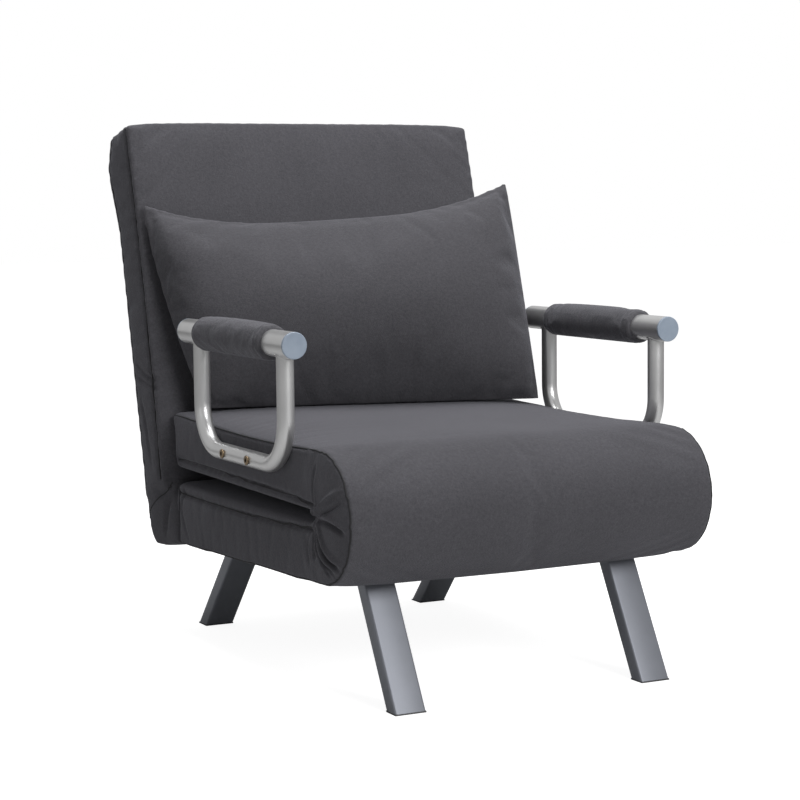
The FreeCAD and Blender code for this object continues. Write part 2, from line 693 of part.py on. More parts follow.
def make_front_hinge():
    pivot = (FRONT_PIVOT_Y, FRONT_PIVOT_Z)
    knee = FRONT_PIVOT_Y + HINGE_STRAP_SET

    def strap(frame_z, play):
        def build(x0, x1):
            shape = link([pivot, (knee, frame_z), (FRONT_PLATE_END, frame_z)], HALF_RAIL, x0, x1)
            return shape.cut(hole_at(x0, x1, pivot, HINGE_PIN_RADIUS + play))
        return build

    save("front_hinge_base_plates", group(plate_pair(INNER_PLATE, strap(BASE_FRAME_Z, RUN_FIT))))
    save("front_hinge_seat_plates", group(plate_pair(OUTER_PLATE, strap(SEAT_FRAME_Z, RUN_FIT))))
    save("front_hinge_pins", group([hinge_pin(side, pivot) for side in SIDES]))


def hinge_pin(side, place):
    y, z = place
    inner = INNER_PLATE
    outer = OUTER_PLATE + PLATE + FIT
    shank = rod_x(side * inner, side * outer, y, z, HINGE_PIN_RADIUS)
    near = rod_x(side * (inner - PIN_HEAD), side * inner, y, z, PIN_HEAD_RADIUS)
    far = rod_x(side * outer, side * (outer + PIN_HEAD), y, z, PIN_HEAD_RADIUS)
    return shank.fuse([near, far]).removeSplitter()


def pawl_tip():
    reach = RATCHET_RADIUS + PAWL_TIP_GAP + PAWL_HALF_WIDTH
    bearing = math.radians(PAWL_BEARING)
    return (REAR_PIVOT_Y + reach * math.cos(bearing), REAR_PIVOT_Z + reach * math.sin(bearing))


def pawl_pivot():
    tip_y, tip_z = pawl_tip()
    heading = math.radians(PAWL_BEARING - PAWL_SET)
    return (tip_y + PAWL_LENGTH * math.cos(heading), tip_z + PAWL_LENGTH * math.sin(heading))


def ratchet_notches(x0, x1):
    """Notches in the round head of the back's plate, which pass the pawl as the back goes down."""
    notches = []
    deep = RATCHET_RADIUS - NOTCH_DEPTH
    wide = RATCHET_RADIUS + NOTCH_DEPTH
    for number in range(NOTCH_COUNT):
        bearing = math.radians(PAWL_BEARING + FIRST_NOTCH + NOTCH_STEP * number)
        half = math.radians(NOTCH_STEP / 4)
        points = []
        for radius, turn in ((deep, 0.0), (wide, -half), (wide, half)):
            angle = bearing + turn
            points.append((REAR_PIVOT_Y + radius * math.cos(angle), REAR_PIVOT_Z + radius * math.sin(angle)))
        notches.append(prism_x(min(x0, x1), max(x0, x1), points))
    return Part.makeCompound(notches)


def make_rear_hinge():
    pivot = (REAR_PIVOT_Y, REAR_PIVOT_Z)
    rail_end = BASE_REAR_Y - FOLD_WALL
    pawl_at = pawl_pivot()

    def base_plate(x0, x1):
        start = (rail_end - HINGE_PLATE_LENGTH, BASE_FRAME_Z)
        shape = link([start, pivot], HALF_RAIL, x0, x1)
        shape = shape.fuse(link([pawl_at, (pawl_at[0], BASE_FRAME_Z)], PAWL_EAR_HALF_WIDTH, x0, x1))
        shape = shape.cut(hole_at(x0, x1, pivot, HINGE_PIN_RADIUS + RUN_FIT))
        return shape.cut(hole_at(x0, x1, pawl_at, PAWL_PIN_RADIUS + RUN_FIT)).removeSplitter()

    def back_plate(x0, x1):
        foot = back_point(0, 0)
        end = back_point(0, BACK_PLATE_END)
        head = rod_x(x0, x1, pivot[0], pivot[1], RATCHET_RADIUS)
        shape = link([foot, end], HALF_RAIL, x0, x1).fuse(head).removeSplitter()
        shape = shape.cut(ratchet_notches(x0, x1))
        return shape.cut(hole_at(x0, x1, pivot, HINGE_PIN_RADIUS + RUN_FIT))

    def pawl(x0, x1):
        shape = link([pawl_at, pawl_tip()], PAWL_HALF_WIDTH, x0, x1)
        return shape.cut(hole_at(x0, x1, pawl_at, PAWL_PIN_RADIUS + RUN_FIT))

    save("rear_hinge_base_plates", group(plate_pair(INNER_PLATE, base_plate)))
    save("rear_hinge_back_plates", group(plate_pair(OUTER_PLATE, back_plate)))
    save("rear_hinge_pins", group([hinge_pin(side, pivot) for side in SIDES]))
    save("ratchet_pawls", group(plate_pair(OUTER_PLATE, pawl)))
    pins = []
    for side in SIDES:
        inner = INNER_PLATE
        outer = OUTER_PLATE + PLATE + FIT
        shank = rod_x(side * inner, side * outer, pawl_at[0], pawl_at[1], PAWL_PIN_RADIUS)
        near = rod_x(side * (inner - PIN_HEAD / 2), side * inner, pawl_at[0], pawl_at[1], PAWL_HEAD_RADIUS)
        far = rod_x(side * outer, side * (outer + PIN_HEAD / 2), pawl_at[0], pawl_at[1], PAWL_HEAD_RADIUS)
        pins.append(shank.fuse([near, far]).removeSplitter())
    save("pawl_pins", group(pins))


# Armrests
def arm_loop(side):
    x = side * ARM_X
    points = [
        vec(x, LOOP_FRONT_Y, ARM_HEIGHT),
        vec(x, LOOP_FRONT_Y, LOOP_Z),
        vec(x, LOOP_REAR_Y, LOOP_Z),
        vec(x, LOOP_REAR_Y, ARM_HEIGHT),
    ]
    loop = bent_tube(points, LOOP_BEND, LOOP_RADIUS, LOOP_WALL)
    bar = rod(vec(x, BAR_FRONT_Y, ARM_HEIGHT), vec(x, BAR_REAR_Y, ARM_HEIGHT), BAR_RADIUS)
    loop = loop.cut(bar)
    return loop.cut(screw_bores(side, SEAT_RAIL_X, ARM_X + 2 * LOOP_RADIUS, SCREW_RADIUS + FIT))


def arm_bar(side):
    x = side * ARM_X
    start = vec(x, BAR_FRONT_Y, ARM_HEIGHT)
    end = vec(x, BAR_REAR_Y, ARM_HEIGHT)
    return rod(start, end, BAR_RADIUS).cut(rod(start, end, BAR_RADIUS - BAR_WALL))


def arm_cap(side, y, outward):
    x = side * ARM_X
    flange = rod(vec(x, y, ARM_HEIGHT), vec(x, y + outward * CAP_FLANGE, ARM_HEIGHT), BAR_RADIUS)
    stem_radius = BAR_RADIUS - BAR_WALL - RUN_FIT
    stem = rod(vec(x, y + outward * CAP_FLANGE / 2, ARM_HEIGHT), vec(x, y - outward * CAP_STEM, ARM_HEIGHT),
               stem_radius)
    cap = flange.fuse(stem).removeSplitter()
    rim = [edge for edge in cap.Edges
           if abs(edge.BoundBox.YMin - y - outward * CAP_FLANGE) < FIT and edge.BoundBox.YLength < FIT]
    return cap.makeFillet(CAP_FLANGE / 2, rim)


def arm_sleeve(side):
    """A padded sleeve: turned about the bar, a little fuller in the middle, with rounded ends."""
    inner = BAR_RADIUS + FIT
    middle_y = (SLEEVE_FRONT_Y + SLEEVE_REAR_Y) / 2
    round_share = 1 - math.sqrt(0.5)

    def at(y, radius):
        return vec(0, y, radius)

    def edge_arc(y, inward):
        start = at(y, SLEEVE_END_RADIUS - SLEEVE_EDGE)
        knee = at(y + inward * SLEEVE_EDGE * round_share, SLEEVE_END_RADIUS - SLEEVE_EDGE * round_share)
        end = at(y + inward * SLEEVE_EDGE, SLEEVE_END_RADIUS)
        return start, knee, end

    front = edge_arc(SLEEVE_FRONT_Y, 1)
    rear = edge_arc(SLEEVE_REAR_Y, -1)
    lowest = SLEEVE_END_RADIUS - SLEEVE_EDGE
    edges = [
        Part.Arc(*front).toShape(),
        Part.Arc(front[2], at(middle_y, SLEEVE_RADIUS), rear[2]).toShape(),
        Part.Arc(rear[2], rear[1], rear[0]).toShape(),
        Part.LineSegment(rear[0], front[0]).toShape(),
    ]
    solid = Part.Face(Part.Wire(edges)).revolve(vec(0, 0, 0), vec(0, 1, 0), 360)
    core = rod(at(SLEEVE_FRONT_Y, 0), at(SLEEVE_REAR_Y, 0), (lowest + inner) / 2)
    solid = solid.fuse(core).removeSplitter()
    solid = solid.cut(rod(at(SLEEVE_FRONT_Y, 0), at(SLEEVE_REAR_Y, 0), inner))
    solid.translate(vec(side * ARM_X, 0, ARM_HEIGHT))
    return solid


def arm_screw(side, y):
    surface = ARM_X + LOOP_RADIUS
    head = rod_x(side * surface, side * (surface + SCREW_HEAD), y, LOOP_Z, SCREW_HEAD_RADIUS)
    shank = rod_x(side * (SEAT_RAIL_OUTER - SCREW_REACH), side * (surface + SCREW_HEAD / 2), y, LOOP_Z,
                  SCREW_RADIUS)
    return head.fuse(shank).removeSplitter()


def arm_spacer(side, y):
    spacer = ring_tube_x(side * SEAT_RAIL_OUTER, side * ARM_X, y, LOOP_Z, SPACER_RADIUS, SCREW_RADIUS + FIT)
    loop = rod(vec(side * ARM_X, LOOP_FRONT_Y, LOOP_Z), vec(side * ARM_X, LOOP_REAR_Y, LOOP_Z),
               LOOP_RADIUS + RUN_FIT)
    return spacer.cut(loop)


def make_arms():
    for side, name in ((-1, "left"), (1, "right")):
        save(name + "_arm_loop", arm_loop(side))
        save(name + "_arm_bar", arm_bar(side))
        save(name + "_arm_sleeve", arm_sleeve(side))
    save("arm_end_caps", group([arm_cap(side, y, outward) for side in SIDES
                                for y, outward in ((BAR_FRONT_Y, -1), (BAR_REAR_Y, 1))]))
    save("arm_screws", group([arm_screw(side, y) for side in SIDES for y in screw_places()]))
    save("arm_spacers", group([arm_spacer(side, y) for side in SIDES for y in screw_places()]))


# Support under the head end
def make_support():
    pivot = (SUPPORT_BEHIND, SUPPORT_ALONG)
    drop = REAR_PIVOT_Z - SUPPORT_BEHIND - SUPPORT_RADIUS - SUPPORT_FLOOR_GAP
    foot = SUPPORT_ALONG - drop
    head = SUPPORT_ALONG + SUPPORT_RADIUS
    points = [vec(-SUPPORT_X, SUPPORT_BEHIND, head), vec(-SUPPORT_X, SUPPORT_BEHIND, foot),
              vec(SUPPORT_X, SUPPORT_BEHIND, foot), vec(SUPPORT_X, SUPPORT_BEHIND, head)]
    leg_tube = bent_tube(points, SUPPORT_BEND, SUPPORT_RADIUS, SUPPORT_WALL)
    leg_tube = leg_tube.cut(rod_x(-2 * SUPPORT_X, 2 * SUPPORT_X, pivot[0], pivot[1],
                                  SUPPORT_PIN_RADIUS + RUN_FIT))
    save("support_leg", on_back(leg_tube))
    brackets = []
    pins = []
    for side in SIDES:
        x0 = side * (SUPPORT_X + SUPPORT_RADIUS + PLATE_GAP)
        x1 = x0 + side * PLATE
        strap = link([(HALF_RAIL + BRACKET_HALF_WIDTH, SUPPORT_ALONG), pivot], BRACKET_HALF_WIDTH, x0, x1)
        root = block(x0, x1, HALF_RAIL, HALF_RAIL + BRACKET_HALF_WIDTH,
                     SUPPORT_ALONG - BRACKET_HALF_WIDTH, SUPPORT_ALONG + BRACKET_HALF_WIDTH)
        bracket = strap.fuse(root).removeSplitter()
        brackets.append(bracket.cut(hole_at(x0, x1, pivot, SUPPORT_PIN_RADIUS + RUN_FIT)))
        near = side * (SUPPORT_X - SUPPORT_RADIUS - PLATE_GAP)
        far = x1 + side * RUN_FIT
        shank = rod_x(near, far, pivot[0], pivot[1], SUPPORT_PIN_RADIUS)
        caps = [rod_x(near, near - side * PIN_HEAD, pivot[0], pivot[1], SUPPORT_PIN_HEAD_RADIUS),
                rod_x(far, far + side * PIN_HEAD, pivot[0], pivot[1], SUPPORT_PIN_HEAD_RADIUS)]
        pins.append(shank.fuse(caps).removeSplitter())
    save("support_brackets", on_back(group(brackets)))
    save("support_pins", on_back(group(pins)))


# Pillow, in its own upright frame from the middle of its lower seam, then leaned and turned
PILLOW_STATIONS = (1.0, 0.96, 0.86, 0.68, 0.4)


def pillow_wire(station):
    """A lens: two arcs that meet at the upper and the lower seam. The lower seam stays level."""
    x = station * PILLOW_HALF_LENGTH
    edge = abs(station)
    high = PILLOW_HEIGHT + PILLOW_TOP_EAR * edge ** 3
    low = -PILLOW_FOOT_EAR * edge ** 6 - x * math.tan(math.radians(PILLOW_TILT))
    middle = (high + low) / 2
    swell = math.sqrt(1 - edge ** 4)
    front = PILLOW_END + (PILLOW_FRONT - PILLOW_END) * swell
    rear = PILLOW_END + (PILLOW_REAR - PILLOW_END) * swell
    face = Part.Arc(vec(x, 0, low), vec(x, -front, middle), vec(x, 0, high))
    reverse = Part.Arc(vec(x, 0, high), vec(x, rear, middle), vec(x, 0, low))
    return Part.Wire([face.toShape(), reverse.toShape()])


def seat_top_z(y):
    """Height of the seat's top along its middle."""
    front_z = ROLL_Z + ROLL_RADIUS + ROLL_CROWN
    rear_z = SEAT_SEAM_HEIGHT + SEAT_REAR_RISE + SEAT_CROWN
    rear_y = seat_rear_y(rear_z) - BACK_FACE_SWELL
    return front_z + (rear_z - front_z) * (y - SECTION_FRONT_Y) / (rear_y - SECTION_FRONT_Y)


def make_pillow():
    stations = [-s for s in PILLOW_STATIONS] + [0.0] + list(reversed(PILLOW_STATIONS))
    pillow = Part.makeLoft([pillow_wire(s) for s in stations], True, False)
    pillow.rotate(vec(0, 0, 0), vec(0, 1, 0), -PILLOW_TILT)
    pillow.rotate(vec(0, 0, 0), vec(1, 0, 0), -PILLOW_LEAN)
    pillow.rotate(vec(0, 0, 0), vec(0, 0, 1), -PILLOW_TURN)
    pillow.translate(vec(PILLOW_FOOT_X, PILLOW_FOOT_Y, seat_top_z(PILLOW_FOOT_Y) + PILLOW_REST))
    save("pillow", pillow)


make_legs()
make_base_frame()
make_base_cover()
make_seat_frame()
make_seat_cover()
make_back_frame()
make_back_cover()
make_front_fold()
make_rear_fold()
make_front_hinge()
make_rear_hinge()
make_arms()
make_support()
make_pillow()
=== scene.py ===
import math

import bmesh
import bpy
import numpy as np
from mathutils import Matrix, Vector
from mathutils.bvhtree import BVHTree


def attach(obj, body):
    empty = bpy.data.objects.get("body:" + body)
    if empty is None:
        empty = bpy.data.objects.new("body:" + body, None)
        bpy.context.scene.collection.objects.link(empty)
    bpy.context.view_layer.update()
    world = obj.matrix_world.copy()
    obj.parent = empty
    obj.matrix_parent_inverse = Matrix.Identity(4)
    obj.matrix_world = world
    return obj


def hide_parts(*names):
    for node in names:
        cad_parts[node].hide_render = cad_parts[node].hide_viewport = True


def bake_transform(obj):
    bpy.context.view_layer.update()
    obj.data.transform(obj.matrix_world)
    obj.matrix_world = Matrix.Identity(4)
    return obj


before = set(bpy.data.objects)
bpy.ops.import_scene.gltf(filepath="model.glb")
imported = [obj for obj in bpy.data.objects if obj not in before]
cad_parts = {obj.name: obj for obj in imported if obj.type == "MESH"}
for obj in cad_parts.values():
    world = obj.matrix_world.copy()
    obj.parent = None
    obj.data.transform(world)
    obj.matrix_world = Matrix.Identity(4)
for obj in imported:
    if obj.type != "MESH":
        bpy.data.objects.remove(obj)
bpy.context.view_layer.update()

# Convertible chair bed. Metres, +Z up, the chair faces -Y. Left and right are as seen from the front.

# Camera
CAMERA_PLACE = (-1.47343, -2.92454, 0.70075)
CAMERA_YAW = math.radians(26.82)
CAMERA_DOWN = math.radians(5.51)
CAMERA_ROLL = math.radians(-0.584)
CAMERA_LENS = 94.414  # millimetres on a sensor 36 wide
SENSOR_WIDTH = 36.0

# The mattress, from the frame
SEAT_HALF_WIDTH = 0.293
BACK_HALF_WIDTH = 0.315
FOLD_HALF_WIDTH = 0.302
FRONT_PIVOT_Y = -0.344
FRONT_PIVOT_Z = 0.264
REAR_PIVOT_Y = 0.250
REAR_PIVOT_Z = 0.203
LEAN = math.radians(13.4)
ROLL_Z = 0.266
ROLL_RADIUS = 0.094
SECTION_FRONT_Y = -0.326
SLOT_END_Y = -0.320  # where the gap between the base and the seat section ends
SEAT_SEAM_Z = 0.360
SEAT_REAR_Z = 0.364
SEAT_UNDER_Z = 0.275
LYING_Z = 0.253
GAP_TAPER = 0.0045  # the gap between the base and the seat narrows towards its end
BASE_REAR_Y = 0.198
BASE_REAR_Z = 0.152
BASE_FRONT_Z = 0.172
SIDE_SAG = 0.006
HEEL_Y = 0.299
HEEL_Z = 0.140
BACK_FOOT = 0.042
BACK_TOP = 0.626
BACK_FRONT = -0.052
BACK_REAR = 0.039
HEAD_START = 0.470
HEAD_PEAK = 0.575
HEAD_DEPTH = 0.066
HEAD_RIDGE = 0.036
FACE_SWELL = 0.010
SECTION_OVERLAP = 0.020  # how far the blocks reach into the roll before they are joined
WELT = 0.012  # from an edge of the back to the stitching beside its welt

# Folds in the cloth, as (y, z) on the left and right sides
HEEL_FOLDS = (((0.2016, 0.2482), (0.2268, 0.2339), (0.2746, 0.2051), (0.2949, 0.1811), (0.299, 0.1587)),
              ((0.2030, 0.232), (0.2238, 0.2084), (0.2451, 0.1566)))
SIDE_FOLDS = (((0.3277, 0.4374), (0.2672, 0.4187), (0.2214, 0.4108)),
              ((0.3243, 0.4163), (0.268, 0.4057), (0.2177, 0.3967)),
              ((0.2976, 0.3856), (0.2727, 0.3307), (0.2486, 0.2681)))
REAR_FOLDS = (((0.1716, 0.240), (0.1789, 0.2077), (0.1505, 0.1636)),
              ((0.189, 0.3771), (0.1466, 0.3673)), ((0.1466, 0.3673), (0.1233, 0.3591)))
GAP_STITCHES = (((0.195, 0.290), (0.0, 0.2885), (-0.20, 0.2865), (-0.318, 0.281)),
                ((0.195, 0.236), (0.05, 0.2355), (-0.15, 0.2395), (-0.318, 0.247)))
PINCH = (-0.325, 0.263)
PLEATS = (  # the end of a pleat from the pinch, its depth and a point on its way
    (-0.432, 0.304, 0.006, (-0.380, 0.282)), (-0.431, 0.2527, 0.009, (-0.380, 0.262)),
    (-0.4134, 0.198, 0.012, (-0.3637, 0.2184)), (-0.398, 0.190, 0.010, (-0.346, 0.212)),
    (-0.330, 0.203, 0.007, (-0.326, 0.228)), (-0.312, 0.192, 0.004, (-0.306, 0.225)),
    (-0.340, 0.347, 0.004, (-0.327, 0.310)))

# Cloth
VOXEL = 0.0065
PILLOW_VOXEL = 0.0055
SLEEVE_VOXEL = 0.004
SEAM_HOLD = 0.005
SEAM_FADE = 0.010
FRAMES = 20
PRESSURE = 4.0
SLEEVE_PRESSURE = 2.0

# How far the cloth swells, and where its sides stop
FACE_CAP = 0.011
GAP_CAP = 0.003
SIDE_CAP = 0.007
ROLL_END_CAP = 0.013
REAR_CAP = 0.0025
BACK_FACE_CAP = 0.008
BACK_SIDE_CAP = 0.005
BACK_REAR_CAP = 0.003
HEEL_CAP = 0.004
SIDE_BAND = 0.012  # how far the cap of a side reaches in
ROLL_END_Y = -0.285
SIDE_LIMIT = 0.301
ROLL_END_LIMIT = 0.306
LOOP_BAND = 0.030  # the cloth stays clear of an armrest loop this far over and under it
LOOP_STRETCH_Y = (-0.29, 0.07)
GAP_LEAST = 0.0035  # from the middle of the gap to its cloth, at the roll
GAP_WIDENS = 0.0045  # and how much more that is at the rear

# The pillow, leaning on the back
PILLOW_PLACE = (-0.025, 0.098, 0.3698)
PILLOW_HALF_LENGTH = 0.305
PILLOW_LEAN = math.radians(19.7)
PILLOW_TURN = math.radians(15.0)
PILLOW_TILT = math.radians(3.1)
PILLOW_HEIGHT = 0.314
PILLOW_EAR = 0.047
PILLOW_FRONT_DEPTH = 0.070  # from its seams to its face
PILLOW_REAR_DEPTH = 0.048
LEFT_DRAWN_IN = 0.065  # its lower left corner is pushed in
RESTING_Z = 0.3725  # it is flat where it rests on the seat

# Armrests
ARM_X = 0.307
ARM_Z = 0.500
BAR_RADIUS = 0.019
LOOP_RADIUS = 0.0125
LOOP_ENDS_Y = (-0.265, 0.049)
LOOP_Z = 0.327
SLEEVE_FRONT_Y = -0.225
SLEEVE_REAR_Y = 0.030
SLEEVE_RADIUS = 0.0262
SCREW_PLACES_Y = (-0.1525, -0.0595)
SCREW_HEAD_RADIUS = 0.007

# Legs
LEG_X = 0.1989
LEG_WIDTH = 0.0476
LEG_DEPTH = 0.025
LEG_TOP = 0.1865
LEG_FLOOR = 0.002
LEG_ROUNDING = 0.0032
FRONT_FOOT_Y = -0.428
REAR_FOOT_Y = 0.300
FRONT_LEG_LEAN = math.radians(29.0)
REAR_LEG_LEAN = math.radians(42.0)

# Light
AIM = (0.0, 0.0, 0.4)
LAMPS = (("overhead", (0.1, 0.1, 2.6), 1.8, 50.0), ("front", (0.5, -3.0, 1.8), 1.6, 53.0),
         ("left fill", (-2.6, -1.2, 1.2), 1.2, 1.2))

SIDES = ((-1, "left"), (1, "right"))


# Helpers for meshes
def select_only(piece):
    bpy.ops.object.select_all(action="DESELECT")
    piece.select_set(True)
    bpy.context.view_layer.objects.active = piece


def finish_place(piece):
    """Puts a piece's place into its mesh, with its object at the origin."""
    select_only(piece)
    bpy.ops.object.transform_apply(location=True, rotation=True, scale=True)


def use_modifier(piece, kind, **settings):
    modifier = piece.modifiers.new(kind.title(), kind)
    for key, value in settings.items():
        setattr(modifier, key, value)
    select_only(piece)
    bpy.ops.object.modifier_apply(modifier=modifier.name)


def points_of(piece, field="co"):
    flat = np.empty(len(piece.data.vertices) * 3, dtype=np.float32)
    piece.data.vertices.foreach_get(field, flat)
    return flat.reshape(-1, 3).astype(np.float64)


def put_points(piece, points):
    piece.data.vertices.foreach_set("co", points.astype(np.float32).ravel())
    piece.data.update()


def smooth(piece, angle=math.radians(50)):
    select_only(piece)
    bpy.ops.object.shade_smooth_by_angle(angle=angle)


def joined(pieces, name):
    bpy.ops.object.select_all(action="DESELECT")
    for piece in pieces:
        piece.select_set(True)
    bpy.context.view_layer.objects.active = pieces[0]
    bpy.ops.object.join()
    piece = bpy.context.object
    piece.name = name
    return piece


def fine_block(name, cuts):
    """A cube two units wide about the origin, cut into a grid, for shaping by formula."""
    bpy.ops.object.select_all(action="DESELECT")
    bpy.ops.mesh.primitive_cube_add(size=2)
    piece = bpy.context.object
    piece.name = name
    bpy.ops.object.mode_set(mode="EDIT")
    bpy.ops.mesh.select_all(action="SELECT")
    bpy.ops.mesh.subdivide(number_cuts=cuts)
    bpy.ops.object.mode_set(mode="OBJECT")
    return piece


def shaped(piece, place):
    for vertex in piece.data.vertices:
        vertex.co = place(*vertex.co)
    piece.data.update()
    return piece


def curve_route(corners, steps=8):
    """A smooth route through a few points."""
    ends = [Vector(c) for c in corners]
    ends = [ends[0] * 2 - ends[1]] + ends + [ends[-1] * 2 - ends[-2]]
    route = []
    for p0, p1, p2, p3 in zip(ends, ends[1:], ends[2:], ends[3:]):
        for step in range(steps):
            t = step / steps
            bend = (p1 * 2 + (p2 - p0) * t + (p0 * 2 - p1 * 5 + p2 * 4 - p3) * t ** 2
                    + (p1 * 3 - p0 - p2 * 3 + p3) * t ** 3)
            route.append(bend / 2)
    route.append(ends[-2])
    return route


def distance_to(points, route):
    """Each point's distance to a route of straight steps, and how far along it that is, from 0 to 1."""
    nearest = np.full(len(points), np.inf)
    along = np.zeros(len(points))
    steps = len(route) - 1
    for number in range(steps):
        a = np.array(route[number])
        way = np.array(route[number + 1]) - a
        share = np.clip((points - a) @ way / max(way @ way, 1e-12), 0.0, 1.0)
        gap = np.linalg.norm(points - (a + share[:, None] * way), axis=1)
        closer = gap < nearest
        nearest[closer] = gap[closer]
        along[closer] = (number + share[closer]) / steps
    return nearest, along


def press(piece, route, depth, width, fade=(0.0, 0.0), power=2.0):
    """Presses a groove along a route into the cloth. A negative depth raises a fold."""
    points = points_of(piece)
    normals = points_of(piece, "normal")
    gap, along = distance_to(points, route)
    share = np.clip(1 - gap / width, 0, 1) ** power
    if fade[0]:
        share *= np.clip(along / fade[0], 0, 1)
    if fade[1]:
        share *= np.clip((1 - along) / fade[1], 0, 1)
    put_points(piece, points - normals * (depth * share)[:, None])


def soften(piece, repeats):
    use_modifier(piece, "SMOOTH", factor=0.5, iterations=repeats)


def puff(piece, seams, cap, spare, pressure=PRESSURE):
    """Fills a cover with air between its seams, as a cloth, and limits how far each point may move."""
    before = points_of(piece)
    hold = np.full(len(before), np.inf)
    for seam in seams:
        hold = np.minimum(hold, distance_to(before, seam)[0])
    group = piece.vertex_groups.new(name="seams")
    weights = np.clip((SEAM_FADE - hold) / (SEAM_FADE - SEAM_HOLD), 0, 1)
    for index in np.nonzero(weights)[0]:
        group.add([int(index)], float(weights[index]), "REPLACE")
    cloth = piece.modifiers.new("Cloth", "CLOTH")
    settings = cloth.settings
    settings.quality = 5
    settings.use_pressure = True
    settings.uniform_pressure_force = pressure
    settings.shrink_min = -spare
    settings.vertex_group_mass = "seams"
    settings.effector_weights.gravity = 0.0
    cloth.point_cache.frame_start = 1
    cloth.point_cache.frame_end = FRAMES
    for number in range(1, FRAMES + 1):
        bpy.context.scene.frame_set(number)
    select_only(piece)
    bpy.ops.object.modifier_apply(modifier=cloth.name)
    bpy.context.scene.frame_set(1)
    moved = points_of(piece) - before
    length = np.linalg.norm(moved, axis=1)
    give = 1.25 * cap
    put_points(piece, before + moved * (give / (give + length))[:, None])
    piece.vertex_groups.clear()


def kept_part(source, name, cuts):
    """A copy of a mesh cut by planes, each given as a point and the way that is kept, and closed again."""
    piece = source.copy()
    piece.data = source.data.copy()
    piece.name = name
    bpy.context.scene.collection.objects.link(piece)
    shape = bmesh.new()
    shape.from_mesh(piece.data)
    for place, way in cuts:
        everything = shape.verts[:] + shape.edges[:] + shape.faces[:]
        bmesh.ops.bisect_plane(shape, geom=everything, plane_co=place, plane_no=way, clear_inner=True)
        open_edges = [edge for edge in shape.edges if edge.is_boundary]
        filled = bmesh.ops.holes_fill(shape, edges=open_edges, sides=0)["faces"]
        bmesh.ops.triangulate(shape, faces=filled)
    shape.to_mesh(piece.data)
    shape.free()
    return piece


def tube(name, route, radius, closed=False, sides=4):
    """A thin round line along a route, as a mesh."""
    line = bpy.data.curves.new(name, "CURVE")
    line.dimensions = "3D"
    line.bevel_depth = radius
    line.bevel_resolution = sides
    line.use_fill_caps = True
    spline = line.splines.new("POLY")
    spline.points.add(len(route) - 1)
    for point, place in zip(spline.points, route):
        point.co = (*place, 1.0)
    spline.use_cyclic_u = closed
    holder = bpy.data.objects.new(name, line)
    bpy.context.scene.collection.objects.link(holder)
    select_only(holder)
    bpy.ops.object.convert(target="MESH")
    piece = bpy.context.object
    smooth(piece)
    return piece


def surface_of(piece):
    """A piece's surface, for laying routes on it."""
    shape = bmesh.new()
    shape.from_mesh(piece.data)
    surface = BVHTree.FromBMesh(shape)
    shape.free()
    return surface


def onto(surface, route, lift):
    """The route laid on a surface."""
    laid = []
    for place in route:
        spot, normal = surface.find_nearest(Vector(place))[:2]
        laid.append(spot + normal * lift)
    return laid


# Materials
class Finish:
    """Builds one node material on Object coordinates."""

    def __init__(self, name):
        self.material = bpy.data.materials.new(name)
        self.material.use_nodes = True
        self.nodes = self.material.node_tree.nodes
        self.links = self.material.node_tree.links
        self.shader = self.nodes["Principled BSDF"]
        self.place = self.nodes.new("ShaderNodeTexCoord").outputs["Object"]

    def set(self, **values):
        for key, value in values.items():
            self.shader.inputs[key.replace("_", " ")].default_value = value
        return self

    def stretched(self, scale):
        mapping = self.nodes.new("ShaderNodeMapping")
        mapping.inputs["Scale"].default_value = scale
        self.links.new(self.place, mapping.inputs["Vector"])
        return mapping.outputs["Vector"]

    def grain(self, scale, detail=2.0, rough=0.5, vector=None):
        node = self.nodes.new("ShaderNodeTexNoise")
        node.inputs["Scale"].default_value = scale
        node.inputs["Detail"].default_value = detail
        node.inputs["Roughness"].default_value = rough
        self.links.new(vector or self.place, node.inputs["Vector"])
        return node.outputs["Fac"]

    def cells(self, scale):
        node = self.nodes.new("ShaderNodeTexVoronoi")
        node.inputs["Scale"].default_value = scale
        self.links.new(self.place, node.inputs["Vector"])
        return node.outputs["Distance"]

    def weave(self, scale):
        node = self.nodes.new("ShaderNodeTexWave")
        node.bands_direction = "DIAGONAL"
        node.inputs["Scale"].default_value = scale
        node.inputs["Distortion"].default_value = 1.5
        node.inputs["Detail"].default_value = 1.0
        self.links.new(self.place, node.inputs["Vector"])
        return node.outputs["Fac"]

    def ramp(self, value, low, high, dark, light):
        node = self.nodes.new("ShaderNodeValToRGB")
        node.color_ramp.elements[0].position = low
        node.color_ramp.elements[1].position = high
        node.color_ramp.elements[0].color = (*dark, 1.0)
        node.color_ramp.elements[1].color = (*light, 1.0)
        self.links.new(value, node.inputs["Fac"])
        return node.outputs["Color"]

    def multiplied(self, first, second):
        node = self.nodes.new("ShaderNodeMix")
        node.data_type = "RGBA"
        node.blend_type = "MULTIPLY"
        node.inputs["Factor"].default_value = 1.0
        self.links.new(first, node.inputs["A"])
        self.links.new(second, node.inputs["B"])
        return node.outputs["Result"]

    def colour(self, output):
        self.links.new(output, self.shader.inputs["Base Color"])
        return self

    def roughness(self, value, low, high):
        node = self.nodes.new("ShaderNodeMapRange")
        node.inputs["To Min"].default_value = low
        node.inputs["To Max"].default_value = high
        self.links.new(value, node.inputs["Value"])
        self.links.new(node.outputs["Result"], self.shader.inputs["Roughness"])
        return self

    def bump(self, heights):
        """Adds reliefs, each a height output with its distance in metres."""
        normal = None
        for height, distance in heights:
            node = self.nodes.new("ShaderNodeBump")
            node.inputs["Distance"].default_value = distance
            node.inputs["Strength"].default_value = 1.0
            self.links.new(height, node.inputs["Height"])
            if normal:
                self.links.new(normal, node.inputs["Normal"])
            normal = node.outputs["Normal"]
        self.links.new(normal, self.shader.inputs["Normal"])
        return self


